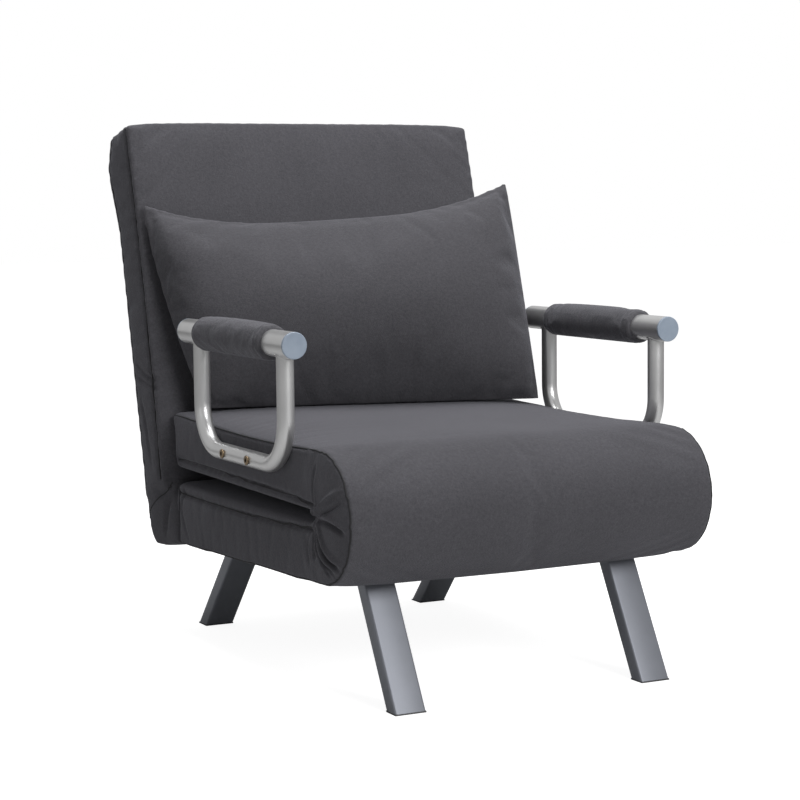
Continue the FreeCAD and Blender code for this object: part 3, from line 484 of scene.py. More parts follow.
def suede(name, dark, light):
    """Short brushed microfibre: soft mottling, a fine nap and a trace of the weave below it."""
    finish = Finish(name)
    nap = finish.grain(520.0, detail=3.0, rough=0.7)
    mottle = finish.grain(230.0, detail=4.0, rough=0.7)
    strokes = finish.grain(9.0, detail=2.0)
    base = finish.ramp(mottle, 0.30, 0.72, dark, light)
    flecks = finish.ramp(nap, 0.25, 0.75, (0.72, 0.72, 0.72), (1.0, 1.0, 1.0))
    brushed = finish.ramp(strokes, 0.3, 0.7, (0.90, 0.90, 0.90), (1.0, 1.0, 1.0))
    finish.colour(finish.multiplied(finish.multiplied(base, flecks), brushed))
    finish.roughness(mottle, 0.84, 0.97)
    finish.bump([(finish.weave(260.0), 0.00012), (nap, 0.0004), (mottle, 0.0006)])
    finish.set(Sheen_Weight=0.22, Sheen_Roughness=0.45, Sheen_Tint=(0.75, 0.76, 0.85, 1.0),
               Specular_IOR_Level=0.2)
    return finish.material


def satin_metal(name, dark, light, low, high, metallic=0.85):
    """Brushed or painted steel, with its roughness between low and high."""
    finish = Finish(name)
    lines = finish.grain(1.0, detail=2.0, vector=finish.stretched((900.0, 900.0, 60.0)))
    clouds = finish.grain(14.0, detail=3.0)
    finish.colour(finish.ramp(clouds, 0.25, 0.75, dark, light))
    finish.roughness(clouds, low, high)
    finish.bump([(lines, 0.000012)])
    finish.set(Metallic=metallic, Specular_IOR_Level=0.5)
    return finish.material


def moulded(name, dark, light, rough=0.42):
    finish = Finish(name)
    clouds = finish.grain(45.0, detail=3.0)
    finish.colour(finish.ramp(clouds, 0.3, 0.7, dark, light))
    finish.roughness(clouds, rough - 0.06, rough + 0.06)
    finish.bump([(finish.grain(1400.0), 0.00003)])
    return finish.material


def sponge(name):
    finish = Finish(name)
    pores = finish.cells(420.0)
    finish.colour(finish.ramp(pores, 0.05, 0.45, (0.45, 0.38, 0.22), (0.78, 0.72, 0.52)))
    finish.bump([(pores, 0.0008)])
    finish.set(Roughness=0.95)
    return finish.material


COVER = suede("charcoal suede", (0.078, 0.076, 0.086), (0.108, 0.106, 0.117))
# The pillow's suede is a slightly darker copy of the cover's suede: painted shade.
PILLOW_SHADED_COVER = suede("pillow suede painted darker", (0.074, 0.072, 0.081), (0.104, 0.102, 0.112))
# The sleeves' suede is a lighter copy of the cover's suede: painted light on the armrests.
SLEEVE_LIT_COVER = suede("sleeve suede painted lighter", (0.100, 0.098, 0.108), (0.139, 0.137, 0.149))
# Near-black lines laid in the seams stand in for their shade: painted seam shadow.
SEAM_SHADE = moulded("painted seam shadow", (0.010, 0.010, 0.011), (0.018, 0.018, 0.020), 0.8)
SILVER = satin_metal("silver tube", (0.60, 0.60, 0.60), (0.68, 0.68, 0.68), 0.26, 0.36)
LEG_STEEL = satin_metal("blue grey leg", (0.185, 0.195, 0.22), (0.23, 0.24, 0.27), 0.40, 0.50, 0.5)
FRAME_STEEL = satin_metal("frame paint", (0.10, 0.10, 0.11), (0.15, 0.15, 0.16), 0.40, 0.55, 0.5)
PIN_STEEL = satin_metal("bright pins", (0.55, 0.55, 0.56), (0.68, 0.68, 0.69), 0.18, 0.30, 1.0)
WIRE_STEEL = satin_metal("spring wire", (0.30, 0.30, 0.31), (0.42, 0.42, 0.43), 0.25, 0.40, 1.0)
BRASS = satin_metal("brass screw", (0.20, 0.145, 0.09), (0.30, 0.225, 0.145), 0.25, 0.40, 1.0)
WELD = satin_metal("silver weld", (0.42, 0.42, 0.42), (0.55, 0.55, 0.55), 0.30, 0.45)
CAP = moulded("cap disc", (0.275, 0.33, 0.41), (0.33, 0.39, 0.47), 0.34)
PLUG = moulded("leg plug", (0.020, 0.020, 0.022), (0.032, 0.032, 0.035), 0.5)
FOAM = sponge("upholstery foam")


def dress(piece, material):
    piece.data.materials.clear()
    piece.data.materials.append(material)


# The folded mattress
def bulge(along):
    """0 at both ends and 1 in the middle."""
    return 4 * along * (1 - along)


def seat_rear_y(z):
    """The seat's rear face follows the backrest's face."""
    face_y = REAR_PIVOT_Y + BACK_FRONT * math.cos(LEAN)
    face_z = REAR_PIVOT_Z - BACK_FRONT * math.sin(LEAN)
    return face_y + (z - face_z) * math.tan(LEAN) - 0.008


def seat_point(u, v, w):
    """The seat section over a cube: u across, v to the rear and w up, each from -1 to 1."""
    rear = (1 + v) / 2
    high = (1 + w) / 2
    side = abs(u) ** 6
    front_y = SECTION_FRONT_Y - SECTION_OVERLAP
    top = SEAT_SEAM_Z + (SEAT_REAR_Z - SEAT_SEAM_Z) * rear - SIDE_SAG * side * bulge(rear)
    z = SEAT_UNDER_Z + (top - SEAT_UNDER_Z) * high
    rear_y = seat_rear_y(z) - 0.009 * high
    return (u * SEAT_HALF_WIDTH, front_y + (rear_y - front_y) * rear, z)


def base_point(u, v, w):
    """The base section over a cube, in the same way."""
    rear = (1 + v) / 2
    high = (1 + w) / 2
    front_y = SECTION_FRONT_Y - SECTION_OVERLAP
    low = BASE_FRONT_Z + (BASE_REAR_Z - BASE_FRONT_Z) * rear
    return (u * SEAT_HALF_WIDTH, front_y + (BASE_REAR_Y - front_y) * rear, low + (LYING_Z - low) * high)


def roll_body():
    bpy.ops.object.select_all(action="DESELECT")
    bpy.ops.mesh.primitive_cylinder_add(vertices=96, radius=ROLL_RADIUS, depth=2 * SEAT_HALF_WIDTH,
                                        location=(0, FRONT_PIVOT_Y, ROLL_Z), rotation=(0, math.pi / 2, 0))
    piece = bpy.context.object
    finish_place(piece)
    for vertex in piece.data.vertices:
        vertex.co.y = min(vertex.co.y, SLOT_END_Y)
    return piece


def side_seams(side):
    """The seams of one side: along the seat, round the end of the roll, and along the base."""
    x = side * SEAT_HALF_WIDTH
    seat = []
    for step in range(13):
        rear = 1 - step / 12
        y, z = seat_point(1, 2 * rear - 1, 1)[1:]
        seat.append((x, y, z))
    turn = []
    for step in range(25):
        angle = math.radians(90 + 180 * step / 24)
        y = FRONT_PIVOT_Y + ROLL_RADIUS * math.cos(angle)
        turn.append((x, y, ROLL_Z + ROLL_RADIUS * math.sin(angle)))
    base = []
    for step in range(13):
        y, z = base_point(1, 2 * step / 12 - 1, -1)[1:]
        base.append((x, y, z))
    return [p for p in seat if p[1] > FRONT_PIVOT_Y], turn, [p for p in base if p[1] > FRONT_PIVOT_Y]


def gap_edges(side):
    """The lower edge of the seat and the upper edge of the base, along the gap."""
    x = side * SEAT_HALF_WIDTH
    rear = seat_rear_y(SEAT_UNDER_Z)
    return ([(x, rear, SEAT_UNDER_Z), (x, SLOT_END_Y, SEAT_UNDER_Z - GAP_TAPER)],
            [(x, BASE_REAR_Y, LYING_Z), (x, SLOT_END_Y, LYING_Z + GAP_TAPER)])


def taper_gap(whole):
    """Narrows the gap towards the roll."""
    points = points_of(whole)
    height = points[:, 2] - FRONT_PIVOT_Z
    share = (np.clip((0.050 - np.abs(height)) / 0.039, 0, 1)
             * np.clip((points[:, 1] - SLOT_END_Y + 0.012) / 0.012, 0, 1))
    forward = np.clip((BASE_REAR_Y - points[:, 1]) / (BASE_REAR_Y - SLOT_END_Y), 0, 1)
    points[:, 2] -= np.sign(height) * GAP_TAPER * forward * share
    put_points(whole, points)


def make_mattress():
    seat = shaped(fine_block("seat_body", 14), seat_point)
    base = shaped(fine_block("base_body", 14), base_point)
    whole = joined([seat, base, roll_body()], "mattress")
    use_modifier(whole, "REMESH", mode="VOXEL", voxel_size=VOXEL)
    soften(whole, 4)
    taper_gap(whole)
    seams = []
    for side, _ in SIDES:
        seams += list(side_seams(side)) + list(gap_edges(side))
    rear_top = seat_point(0, 1, 1)[1:]
    seams.append([(-SEAT_HALF_WIDTH, *rear_top), (SEAT_HALF_WIDTH, *rear_top)])
    points = points_of(whole)
    cap = np.full(len(points), FACE_CAP)
    in_gap = (points[:, 1] > SLOT_END_Y - 0.01) & (np.abs(points[:, 2] - FRONT_PIVOT_Z) < 0.020)
    at_side = np.abs(points[:, 0]) > SEAT_HALF_WIDTH - SIDE_BAND
    cap[in_gap] = GAP_CAP
    cap[at_side] = SIDE_CAP
    cap[at_side & (points[:, 1] < ROLL_END_Y)] = ROLL_END_CAP
    cap[points[:, 1] > BASE_REAR_Y - SIDE_BAND] = REAR_CAP
    puff(whole, seams, cap, spare=0.004)
    points = points_of(whole)
    by_loop = ((np.abs(points[:, 2] - LOOP_Z) < LOOP_BAND)
               & (points[:, 1] > LOOP_STRETCH_Y[0]) & (points[:, 1] < LOOP_STRETCH_Y[1]))
    limit = np.where(by_loop, ARM_X - LOOP_RADIUS - 0.0005,
                     np.where(points[:, 1] < ROLL_END_Y, ROLL_END_LIMIT, SIDE_LIMIT))
    points[:, 0] = np.clip(points[:, 0], -limit, limit)
    floor_of_gap = points[:, 1] > SLOT_END_Y
    upper = floor_of_gap & (points[:, 2] > FRONT_PIVOT_Z)
    lower = floor_of_gap & (points[:, 2] < FRONT_PIVOT_Z)
    rearward = np.clip((points[:, 1] - SLOT_END_Y) / (BASE_REAR_Y - SLOT_END_Y), 0, 1)
    opening = GAP_LEAST + GAP_WIDENS * rearward
    points[upper, 2] = np.maximum(points[upper, 2], FRONT_PIVOT_Z + opening[upper])
    points[lower, 2] = np.minimum(points[lower, 2], FRONT_PIVOT_Z - opening[lower])
    put_points(whole, points)
    use_modifier(whole, "SUBSURF", levels=1, render_levels=1)
    finer_ends(whole)
    return whole


def finer_ends(whole):
    """Cuts the end panels of the roll finer, for their pleats."""
    for face in whole.data.polygons:
        face.select = abs(face.center.x) > SEAT_HALF_WIDTH - 0.010 and face.center.y < -0.29
    select_only(whole)
    bpy.ops.object.mode_set(mode="EDIT")
    bpy.ops.mesh.subdivide(number_cuts=1)
    bpy.ops.object.mode_set(mode="OBJECT")


def pleat_fan(whole, side):
    """Pleats from the pinch at the end of the gap to the seam round the end of the roll."""
    x = side * (SEAT_HALF_WIDTH + 0.004)

    def spot(y, z):
        return (x, y, z)

    for y, z, depth, middle in PLEATS:
        route = curve_route([spot(*PINCH), spot(*middle), spot(y, z)])
        press(whole, route, depth, 0.0070, fade=(0.0, 0.2))
        beside = [(p[0], p[1] - 0.003, p[2] + 0.008) for p in route]
        press(whole, beside, -depth * 0.5, 0.009, fade=(0.15, 0.25))
    ridge = curve_route([spot(-0.330, 0.268), spot(-0.378, 0.298), spot(-0.430, 0.318)])
    press(whole, ridge, -0.006, 0.008, fade=(0.0, 0.3))
    press(whole, [spot(-0.358, 0.200), spot(-0.3885, 0.183)], 0.010, 0.0055, fade=(0.3, 0.2))
    press(whole, [spot(-0.318, 0.264), spot(-0.330, 0.263)], 0.006, 0.009, power=1.5)
    for y, z in ((-0.326, 0.275), (-0.323, 0.251)):
        press(whole, [spot(y, z), spot(y - 0.008, z)], -0.008, 0.008, power=1.5)


def on_side(x, places):
    """A smooth route through places (y, z) on a side of the chair."""
    return curve_route([(x, *place) for place in places])


def gap_lines(side):
    """The stitching under the rolled edges on both sides of the gap."""
    return [on_side(side * SEAT_HALF_WIDTH, places) for places in GAP_STITCHES]


def make_side_detail(whole):
    for side, _ in SIDES:
        for seam in side_seams(side):
            press(whole, seam, 0.0045, 0.0065)
        for line in gap_lines(side):
            press(whole, line, 0.006, 0.007)
        for places in REAR_FOLDS:
            press(whole, on_side(side * SEAT_HALF_WIDTH, places), 0.005, 0.008, fade=(0.0, 0.3))
        pleat_fan(whole, side)


# The backrest
def back_place(behind, along):
    """The (y, z) of a place on the leaning back, behind its hinge line and along it."""
    y = REAR_PIVOT_Y + behind * math.cos(LEAN) + along * math.sin(LEAN)
    z = REAR_PIVOT_Z - behind * math.sin(LEAN) + along * math.cos(LEAN)
    return y, z


def back_front(rise):
    """How far the face of the back lies before its hinge line."""
    return BACK_FRONT - FACE_SWELL * bulge(rise)


def back_rear(along):
    """How far the rear of the back lies behind its hinge line, with the thicker head."""
    if along < HEAD_START:
        return BACK_REAR
    if along < HEAD_PEAK:
        return BACK_REAR + (HEAD_DEPTH - BACK_REAR) * (along - HEAD_START) / (HEAD_PEAK - HEAD_START)
    return HEAD_DEPTH + (HEAD_RIDGE - HEAD_DEPTH) * (along - HEAD_PEAK) / (BACK_TOP - HEAD_PEAK)


def back_point(u, v, w):
    """The backrest over a cube: u across, v to the rear and w along it, each from -1 to 1."""
    rise = (1 + w) / 2
    crown = 0.006 * (1 - abs(u) ** 6)
    along = BACK_FOOT + (BACK_TOP + crown - BACK_FOOT) * rise
    front = back_front(rise)
    behind = front + (back_rear(min(along, BACK_TOP)) - front) * (1 + v) / 2
    y, z = back_place(behind, along)
    return (u * BACK_HALF_WIDTH, y, z)


def back_seams(side):
    front = [back_point(side, -1, 2 * step / 20 - 1) for step in range(21)]
    rear = [back_point(side, 1, 2 * step / 20 - 1) for step in range(21)]
    return front, rear


def welt_point(x, along, rise, forward):
    edge = back_front(rise) + WELT if forward else back_rear(along) - WELT
    return (x, *back_place(edge, along))


def back_welts():
    """The lines beside the front and the rear welt, up one side, over the top and down the other side."""
    lines = []
    rises = [k / 24 for k in range(25)]
    steps = [BACK_FOOT + 0.004 + (BACK_TOP - 0.010 - BACK_FOOT) * k / 24 for k in range(25)]
    for forward in (True, False):
        up, down = [[welt_point(side * BACK_HALF_WIDTH, along, rise, forward)
                     for along, rise in zip(steps, rises)] for side in (-1, 1)]
        over = [welt_point(BACK_HALF_WIDTH * (k / 12 - 1), BACK_TOP + 0.004, 1.0, forward)
                for k in range(1, 24)]
        lines.append(up + over + down[::-1])
    return lines


def make_back():
    piece = joined([shaped(fine_block("back_body", 24), back_point), heel_body()], "back_and_heel")
    use_modifier(piece, "REMESH", mode="VOXEL", voxel_size=VOXEL)
    soften(piece, 3)
    seams = []
    for side, _ in SIDES:
        seams += list(back_seams(side))
    seams.append([back_point(-1, -1, 1), back_point(0, -1, 1), back_point(1, -1, 1)])
    seams.append([back_point(-1, 1, 1), back_point(0, 1, 1), back_point(1, 1, 1)])
    points = points_of(piece)
    cap = np.full(len(points), BACK_FACE_CAP)
    cap[np.abs(points[:, 0]) > BACK_HALF_WIDTH - SIDE_BAND] = BACK_SIDE_CAP
    foot_y, foot_z = back_place(0.0, BACK_FOOT)
    along = (points[:, 1] - foot_y) * math.sin(LEAN) + (points[:, 2] - foot_z) * math.cos(LEAN)
    cap[along < 0.0] = HEEL_CAP
    behind = (points[:, 1] - foot_y) * math.cos(LEAN) - (points[:, 2] - foot_z) * math.sin(LEAN)
    cap[(behind > BACK_REAR - 0.010) & (along < HEAD_START - BACK_FOOT)] = BACK_REAR_CAP
    puff(piece, seams, cap, spare=0.012)
    use_modifier(piece, "SUBSURF", levels=1, render_levels=1)
    for line in back_welts():
        press(piece, line, 0.0045, 0.0065)
    for side, _ in SIDES:
        for fold in SIDE_FOLDS:
            press(piece, on_side(side * BACK_HALF_WIDTH, fold), 0.005, 0.010, fade=(0.2, 0.2))
        for fold in HEEL_FOLDS:
            press(piece, on_side(side * FOLD_HALF_WIDTH, fold), 0.006, 0.010, fade=(0.0, 0.15))
    return piece


def make_pillow():
    """A pillow with four drawn-out corners, filled upright and then leant on the back."""
    def upright(u, v, w):
        x = u * PILLOW_HALF_LENGTH
        edge = abs(u)
        if u < 0:
            x += LEFT_DRAWN_IN * edge ** 2 * ((1 - w) / 2) ** 1.5
        top = PILLOW_HEIGHT + PILLOW_EAR * edge ** 3
        foot = -0.008 * edge ** 6 - x * math.tan(PILLOW_TILT)
        thick = math.sqrt(max(0.0, 1 - w * w)) * 0.9 + 0.1 * (1 - abs(w))
        swell = math.sqrt(max(0.0, 1 - edge ** 4))
        depth = (PILLOW_FRONT_DEPTH if v < 0 else PILLOW_REAR_DEPTH) * swell * thick + 0.004
        return Vector((x, v * depth, (top + foot) / 2 + (top - foot) / 2 * w))

    place = (Matrix.Translation(PILLOW_PLACE) @ Matrix.Rotation(-PILLOW_TURN, 4, "Z")
             @ Matrix.Rotation(-PILLOW_LEAN, 4, "X") @ Matrix.Rotation(-PILLOW_TILT, 4, "Y"))
    piece = shaped(fine_block("pillow_cushion", 22), upright)
    use_modifier(piece, "REMESH", mode="VOXEL", voxel_size=PILLOW_VOXEL)
    soften(piece, 2)
    seams = [[upright(step / 10 - 1, 0, 1) for step in range(21)],
             [upright(step / 10 - 1, 0, -1) for step in range(21)],
             [upright(-1, 0, step / 4 - 1) for step in range(9)],
             [upright(1, 0, step / 4 - 1) for step in range(9)]]
    puff(piece, seams, np.full(len(piece.data.vertices), 0.014), spare=0.030)
    soften(piece, 3)
    use_modifier(piece, "SUBSURF", levels=1, render_levels=1)
    for seam in seams:
        press(piece, seam, -0.0015, 0.006)
    piece.data.transform(place)
    points = points_of(piece)
    points[:, 2] = np.maximum(points[:, 2], RESTING_Z)
    put_points(piece, points)
    return piece


def make_sleeve(side, name):
    x = side * ARM_X
    length = SLEEVE_REAR_Y - SLEEVE_FRONT_Y
    bpy.ops.object.select_all(action="DESELECT")
    bpy.ops.mesh.primitive_cylinder_add(vertices=72, radius=SLEEVE_RADIUS, depth=length,
                                        location=(x, SLEEVE_FRONT_Y + length / 2, ARM_Z),
                                        rotation=(math.pi / 2, 0, 0))
    piece = bpy.context.object
    piece.name = name + "_sleeve_pad"
    finish_place(piece)
    use_modifier(piece, "BEVEL", width=0.006, segments=4, limit_method="ANGLE")
    use_modifier(piece, "REMESH", mode="VOXEL", voxel_size=SLEEVE_VOXEL)
    soften(piece, 2)
    seams = []
    hem = 0.021
    turns = [2 * math.pi * k / 24 for k in range(25)]
    for y in (SLEEVE_FRONT_Y + 0.001, SLEEVE_REAR_Y - 0.001):
        seams.append([(x + hem * math.cos(turn), y, ARM_Z + hem * math.sin(turn)) for turn in turns])
    seams.append([(x, SLEEVE_FRONT_Y, ARM_Z - SLEEVE_RADIUS), (x, SLEEVE_REAR_Y, ARM_Z - SLEEVE_RADIUS)])
    puff(piece, seams, np.full(len(piece.data.vertices), 0.0022), spare=0.06, pressure=SLEEVE_PRESSURE)
    use_modifier(piece, "SUBSURF", levels=1, render_levels=1)
    press(piece, seams[2], 0.0015, 0.003)
    return piece


def heel_body():
    """The heel of the mattress: a thick band from the base round to the foot of the back."""
    rear_foot = back_place(BACK_REAR, BACK_FOOT + 0.01)
    inner_foot = back_place(BACK_FRONT + 0.006, BACK_FOOT + 0.01)
    outer = [(BASE_REAR_Y, BASE_REAR_Z), (0.245, 0.144), (0.280, HEEL_Z), (HEEL_Y, 0.152), (0.301, 0.185),
             rear_foot]
    inner = [(BASE_REAR_Y, 0.212), (0.202, 0.220), (0.205, 0.228), (0.208, 0.236), (0.211, 0.245),
             inner_foot]
    outer_way = curve_route([(0, *p) for p in outer], 6)
    inner_way = curve_route([(0, *p) for p in inner], 6)

    def place(u, v, w):
        share = (1 + v) / 2 * (len(outer_way) - 1)
        at = min(int(share), len(outer_way) - 2)
        rest = share - at
        out = outer_way[at].lerp(outer_way[at + 1], rest)
        into = inner_way[at].lerp(inner_way[at + 1], rest)
        spot = into.lerp(out, (1 + w) / 2)
        half = SEAT_HALF_WIDTH + 0.003 + (BACK_HALF_WIDTH - SEAT_HALF_WIDTH - 0.003) * ((1 + v) / 2) ** 2
        return (u * half, spot.y, spot.z)

    piece = shaped(fine_block("heel_body", 20), place)
    select_only(piece)
    bpy.ops.object.mode_set(mode="EDIT")
    bpy.ops.mesh.select_all(action="SELECT")
    bpy.ops.mesh.normals_make_consistent(inside=False)
    bpy.ops.object.mode_set(mode="OBJECT")
    return piece


def make_tuck():
    """Cloth that is tucked in between the base and the back."""
    foot_y, foot_z = back_place(BACK_FRONT, BACK_FOOT - 0.0005)
    wide = SEAT_HALF_WIDTH - 0.001

    def place(u, v, w):
        across = (1 + v) / 2
        y = BASE_REAR_Y + (foot_y + 0.004 - BASE_REAR_Y) * across
        top = LYING_Z - 0.001 - 0.034 * (1 - abs(2 * across - 1))
        return (u * wide, y, 0.205 + (top - 0.205) * (1 + w) / 2)

    piece = shaped(fine_block("rear_tuck", 12), place)
    use_modifier(piece, "SUBSURF", levels=1, render_levels=1)
    return piece, foot_y + 0.004


def make_lining():
    """A strip that joins the base and the seat section at the bottom of the gap."""
    deep = FRONT_PIVOT_Y + 0.0005
    wide = SEAT_HALF_WIDTH - 0.006

    def place(u, v, w):
        turn = v * math.pi / 2
        y = SECTION_FRONT_Y + 0.010 - (SECTION_FRONT_Y + 0.010 - deep - 0.003 * (w + 1)) * math.cos(turn)
        z = FRONT_PIVOT_Z + (0.0115 - 0.0025 * (w + 1) / 2) * math.sin(turn)
        return (u * wide, y, z)

    piece = shaped(fine_block("fold_lining", 10), place)
    use_modifier(piece, "SUBSURF", levels=1, render_levels=1)
    return piece


# Legs and small metal
def make_leg(side, name, foot_y, lean, outward):
    """A slanted flat tube, cut level at the floor and inside the base."""
    slope = math.tan(lean)
    run = LEG_DEPTH / math.cos(lean)
    middle_z = (LEG_TOP + LEG_FLOOR) / 2
    middle_y = foot_y - outward * (middle_z * slope + run / 2)
    length = (LEG_TOP - LEG_FLOOR) / math.cos(lean) + 4 * LEG_DEPTH
    bpy.ops.object.select_all(action="DESELECT")
    bpy.ops.mesh.primitive_cube_add(size=1, location=(side * LEG_X, middle_y, middle_z),
                                    rotation=(outward * lean, 0, 0), scale=(LEG_WIDTH, LEG_DEPTH, length))
    piece = bpy.context.object
    piece.name = name
    finish_place(piece)
    use_modifier(piece, "BEVEL", width=LEG_ROUNDING, segments=4, limit_method="ANGLE")
    bpy.ops.object.mode_set(mode="EDIT")
    bpy.ops.mesh.select_all(action="SELECT")
    bpy.ops.mesh.bisect(plane_co=(0, 0, LEG_FLOOR), plane_no=(0, 0, 1), clear_inner=True, use_fill=True)
    bpy.ops.mesh.select_all(action="SELECT")
    bpy.ops.mesh.bisect(plane_co=(0, 0, LEG_TOP), plane_no=(0, 0, -1), clear_inner=True, use_fill=True)
    bpy.ops.object.mode_set(mode="OBJECT")
    smooth(piece, math.radians(30))
    return piece


def make_screws():
    """The screws that hold the armrest loops, with their sockets and shanks."""
    heads = []
    for side, _ in SIDES:
        for y in SCREW_PLACES_Y:
            bpy.ops.object.select_all(action="DESELECT")
            bpy.ops.mesh.primitive_cylinder_add(vertices=36, radius=SCREW_HEAD_RADIUS, depth=0.003,
                                                location=(side * (ARM_X + LOOP_RADIUS + 0.0012), y, LOOP_Z),
                                                rotation=(0, side * math.pi / 2, 0))
            head = bpy.context.object
            finish_place(head)
            use_modifier(head, "BEVEL", width=0.0012, segments=4, limit_method="ANGLE")
            bpy.ops.mesh.primitive_cylinder_add(vertices=6, radius=0.0032, depth=0.006,
                                                location=(side * (ARM_X + LOOP_RADIUS + 0.0040), y, LOOP_Z),
                                                rotation=(0, side * math.pi / 2, 0))
            recess = bpy.context.object
            finish_place(recess)
            use_modifier(head, "BOOLEAN", operation="DIFFERENCE", object=recess, solver="EXACT")
            bpy.data.objects.remove(recess)
            bpy.ops.object.select_all(action="DESELECT")
            bpy.ops.mesh.primitive_cylinder_add(vertices=24, radius=0.004, depth=0.046,
                                                location=(side * (ARM_X - 0.0095), y, LOOP_Z),
                                                rotation=(0, side * math.pi / 2, 0))
            shank = bpy.context.object
            finish_place(shank)
            heads += [head, shank]
    piece = joined(heads, "arm_screw_set")
    smooth(piece, math.radians(35))
    return piece


def make_welds(side, name):
    """The weld beads round the ends of a loop, under its bar."""
    beads = []
    for number, y in enumerate(LOOP_ENDS_Y):
        route = []
        for step in range(48):
            angle = 2 * math.pi * step / 48
            across = (LOOP_RADIUS + 0.0004) * math.cos(angle)
            z = ARM_Z - math.sqrt(BAR_RADIUS ** 2 - across ** 2)
            wobble = 0.0003 * math.sin(17 * angle + number)
            route.append((side * ARM_X + across, y + (LOOP_RADIUS + 0.0004 + wobble) * math.sin(angle), z))
        beads.append(tube(name + "_bead", route, 0.0016, closed=True))
    return joined(beads, name + "_arm_welds")


def notch_roll(piece):
    """Cuts a hidden notch in the back of the roll, so that it doesn't stand up when the seat lies open."""
    notch = {0.0: -0.005, 0.018: 0.0, 0.033: SECTION_FRONT_Y - FRONT_PIVOT_Y}
    planes = [((0, 0, FRONT_PIVOT_Z + way * step), (0, 0, 1)) for step in notch for way in (-1, 1)]
    planes += [((way * wide, 0, 0), (1, 0, 0)) for wide in (0.272, 0.276) for way in (-1, 1)]
    shape = bmesh.new()
    shape.from_mesh(piece.data)
    for place, way in planes:
        everything = shape.verts[:] + shape.edges[:] + shape.faces[:]
        bmesh.ops.bisect_plane(shape, geom=everything, plane_co=place, plane_no=way)
    for vertex in shape.verts:
        if vertex.co.y > SECTION_FRONT_Y - 0.0004 and abs(vertex.co.x) < 0.274:
            height = abs(vertex.co.z - FRONT_PIVOT_Z)
            vertex.co.y = FRONT_PIVOT_Y + float(np.interp(height, list(notch), list(notch.values())))
    shape.to_mesh(piece.data)
    shape.free()


mattress = make_mattress()
make_side_detail(mattress)
CUT = (0, SECTION_FRONT_Y, 0)
LEVEL = (0, 0, FRONT_PIVOT_Z)
seat = kept_part(mattress, "seat_cushion", [(CUT, (0, 1, 0)), (LEVEL, (0, 0, 1))])
base = kept_part(mattress, "base_cushion", [(CUT, (0, 1, 0)), (LEVEL, (0, 0, -1))])
roll = kept_part(mattress, "front_roll", [(CUT, (0, -1, 0))])
notch_roll(roll)
backrest = make_back()
FOOT = (0, *back_place(0.0, BACK_FOOT))
UPWARD = (0, math.sin(LEAN), math.cos(LEAN))
back = kept_part(backrest, "back_cushion", [(FOOT, UPWARD)])
heel = kept_part(backrest, "heel_fold", [(FOOT, (0, -UPWARD[1], -UPWARD[2]))])
pillow = make_pillow()
tuck, tuck_end = make_tuck()
lining = make_lining()


def painted_seam_shadows():
    """Thin near-black tubes laid in the seams as painted seam shadow, by the piece that they lie on."""
    cloth, back_cloth = surface_of(mattress), surface_of(backrest)
    shade_lines = {"seat": [], "roll": [], "base": [], "back": [], "heel": []}

    def lay_shade_line(key, name, surface, route, lift, radius):
        shade_lines[key].append(tube(name, onto(surface, route, lift), radius, sides=2))

    for number, line in enumerate(back_welts()):
        lay_shade_line("back", "back_seam_%d" % number, back_cloth, line, 0.0003, 0.0009)
    for side, name in SIDES:
        along_seat, round_roll, along_base = side_seams(side)
        upper_end = (side * SEAT_HALF_WIDTH, SECTION_FRONT_Y, SEAT_SEAM_Z)
        lower_end = (side * SEAT_HALF_WIDTH, SECTION_FRONT_Y, BASE_FRONT_Z)
        edge = [p for p in along_seat if p[1] > SECTION_FRONT_Y] + [upper_end]
        turn = [upper_end] + round_roll + [lower_end]
        low = [lower_end] + [p for p in along_base if p[1] > SECTION_FRONT_Y]
        under, over = [[p for p in line if p[1] > SECTION_FRONT_Y] for line in gap_lines(side)]
        lay_shade_line("seat", name + "_seat_seam_shadow", cloth, edge, 0.0004, 0.0011)
        lay_shade_line("roll", name + "_roll_seam_shadow", cloth, curve_route(turn, 2), 0.0004, 0.0011)
        lay_shade_line("base", name + "_base_seam_shadow", cloth, low, 0.0004, 0.0011)
        lay_shade_line("seat", name + "_seat_lower_seam_shadow", cloth, under, 0.0001, 0.0006)
        lay_shade_line("base", name + "_base_upper_seam_shadow", cloth, over, 0.0003, 0.0010)
        heel_line = on_side(side * FOLD_HALF_WIDTH, HEEL_FOLDS[0])
        lay_shade_line("heel", name + "_heel_seam_shadow", back_cloth, heel_line, 0.0002, 0.0008)
    return shade_lines


shade_lines = painted_seam_shadows()
bpy.data.objects.remove(mattress)
bpy.data.objects.remove(backrest)

sleeves = [make_sleeve(side, name) for side, name in SIDES]

for piece in (seat, base, roll, back, pillow, heel, tuck, lining, *sleeves):
    select_only(piece)
    bpy.ops.object.shade_smooth()
for piece in (seat, base, roll, back, heel, tuck, lining):
    dress(piece, COVER)
dress(pillow, PILLOW_SHADED_COVER)
for piece in sleeves:
    dress(piece, SLEEVE_LIT_COVER)
    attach(piece, "seat")

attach(seat, "seat")
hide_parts("seat_cover")
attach(base, "base")
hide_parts("base_cover")
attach(back, "back")
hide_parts("back_cover")
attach(pillow, "pillow")
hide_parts("pillow")
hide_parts("left_arm_sleeve")
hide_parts("right_arm_sleeve")
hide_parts("front_fold")
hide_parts("rear_fold")
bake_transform(roll)
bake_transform(lining)
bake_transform(heel)
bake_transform(tuck)

# The painted seam shadow lines ride with the pieces that they lie on.
for key, parts in shade_lines.items():
    for shade_line in parts:
        dress(shade_line, SEAM_SHADE)
        if key == "roll":
            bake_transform(shade_line)
        elif key == "heel":
            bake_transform(shade_line)
        else:
            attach(shade_line, key)

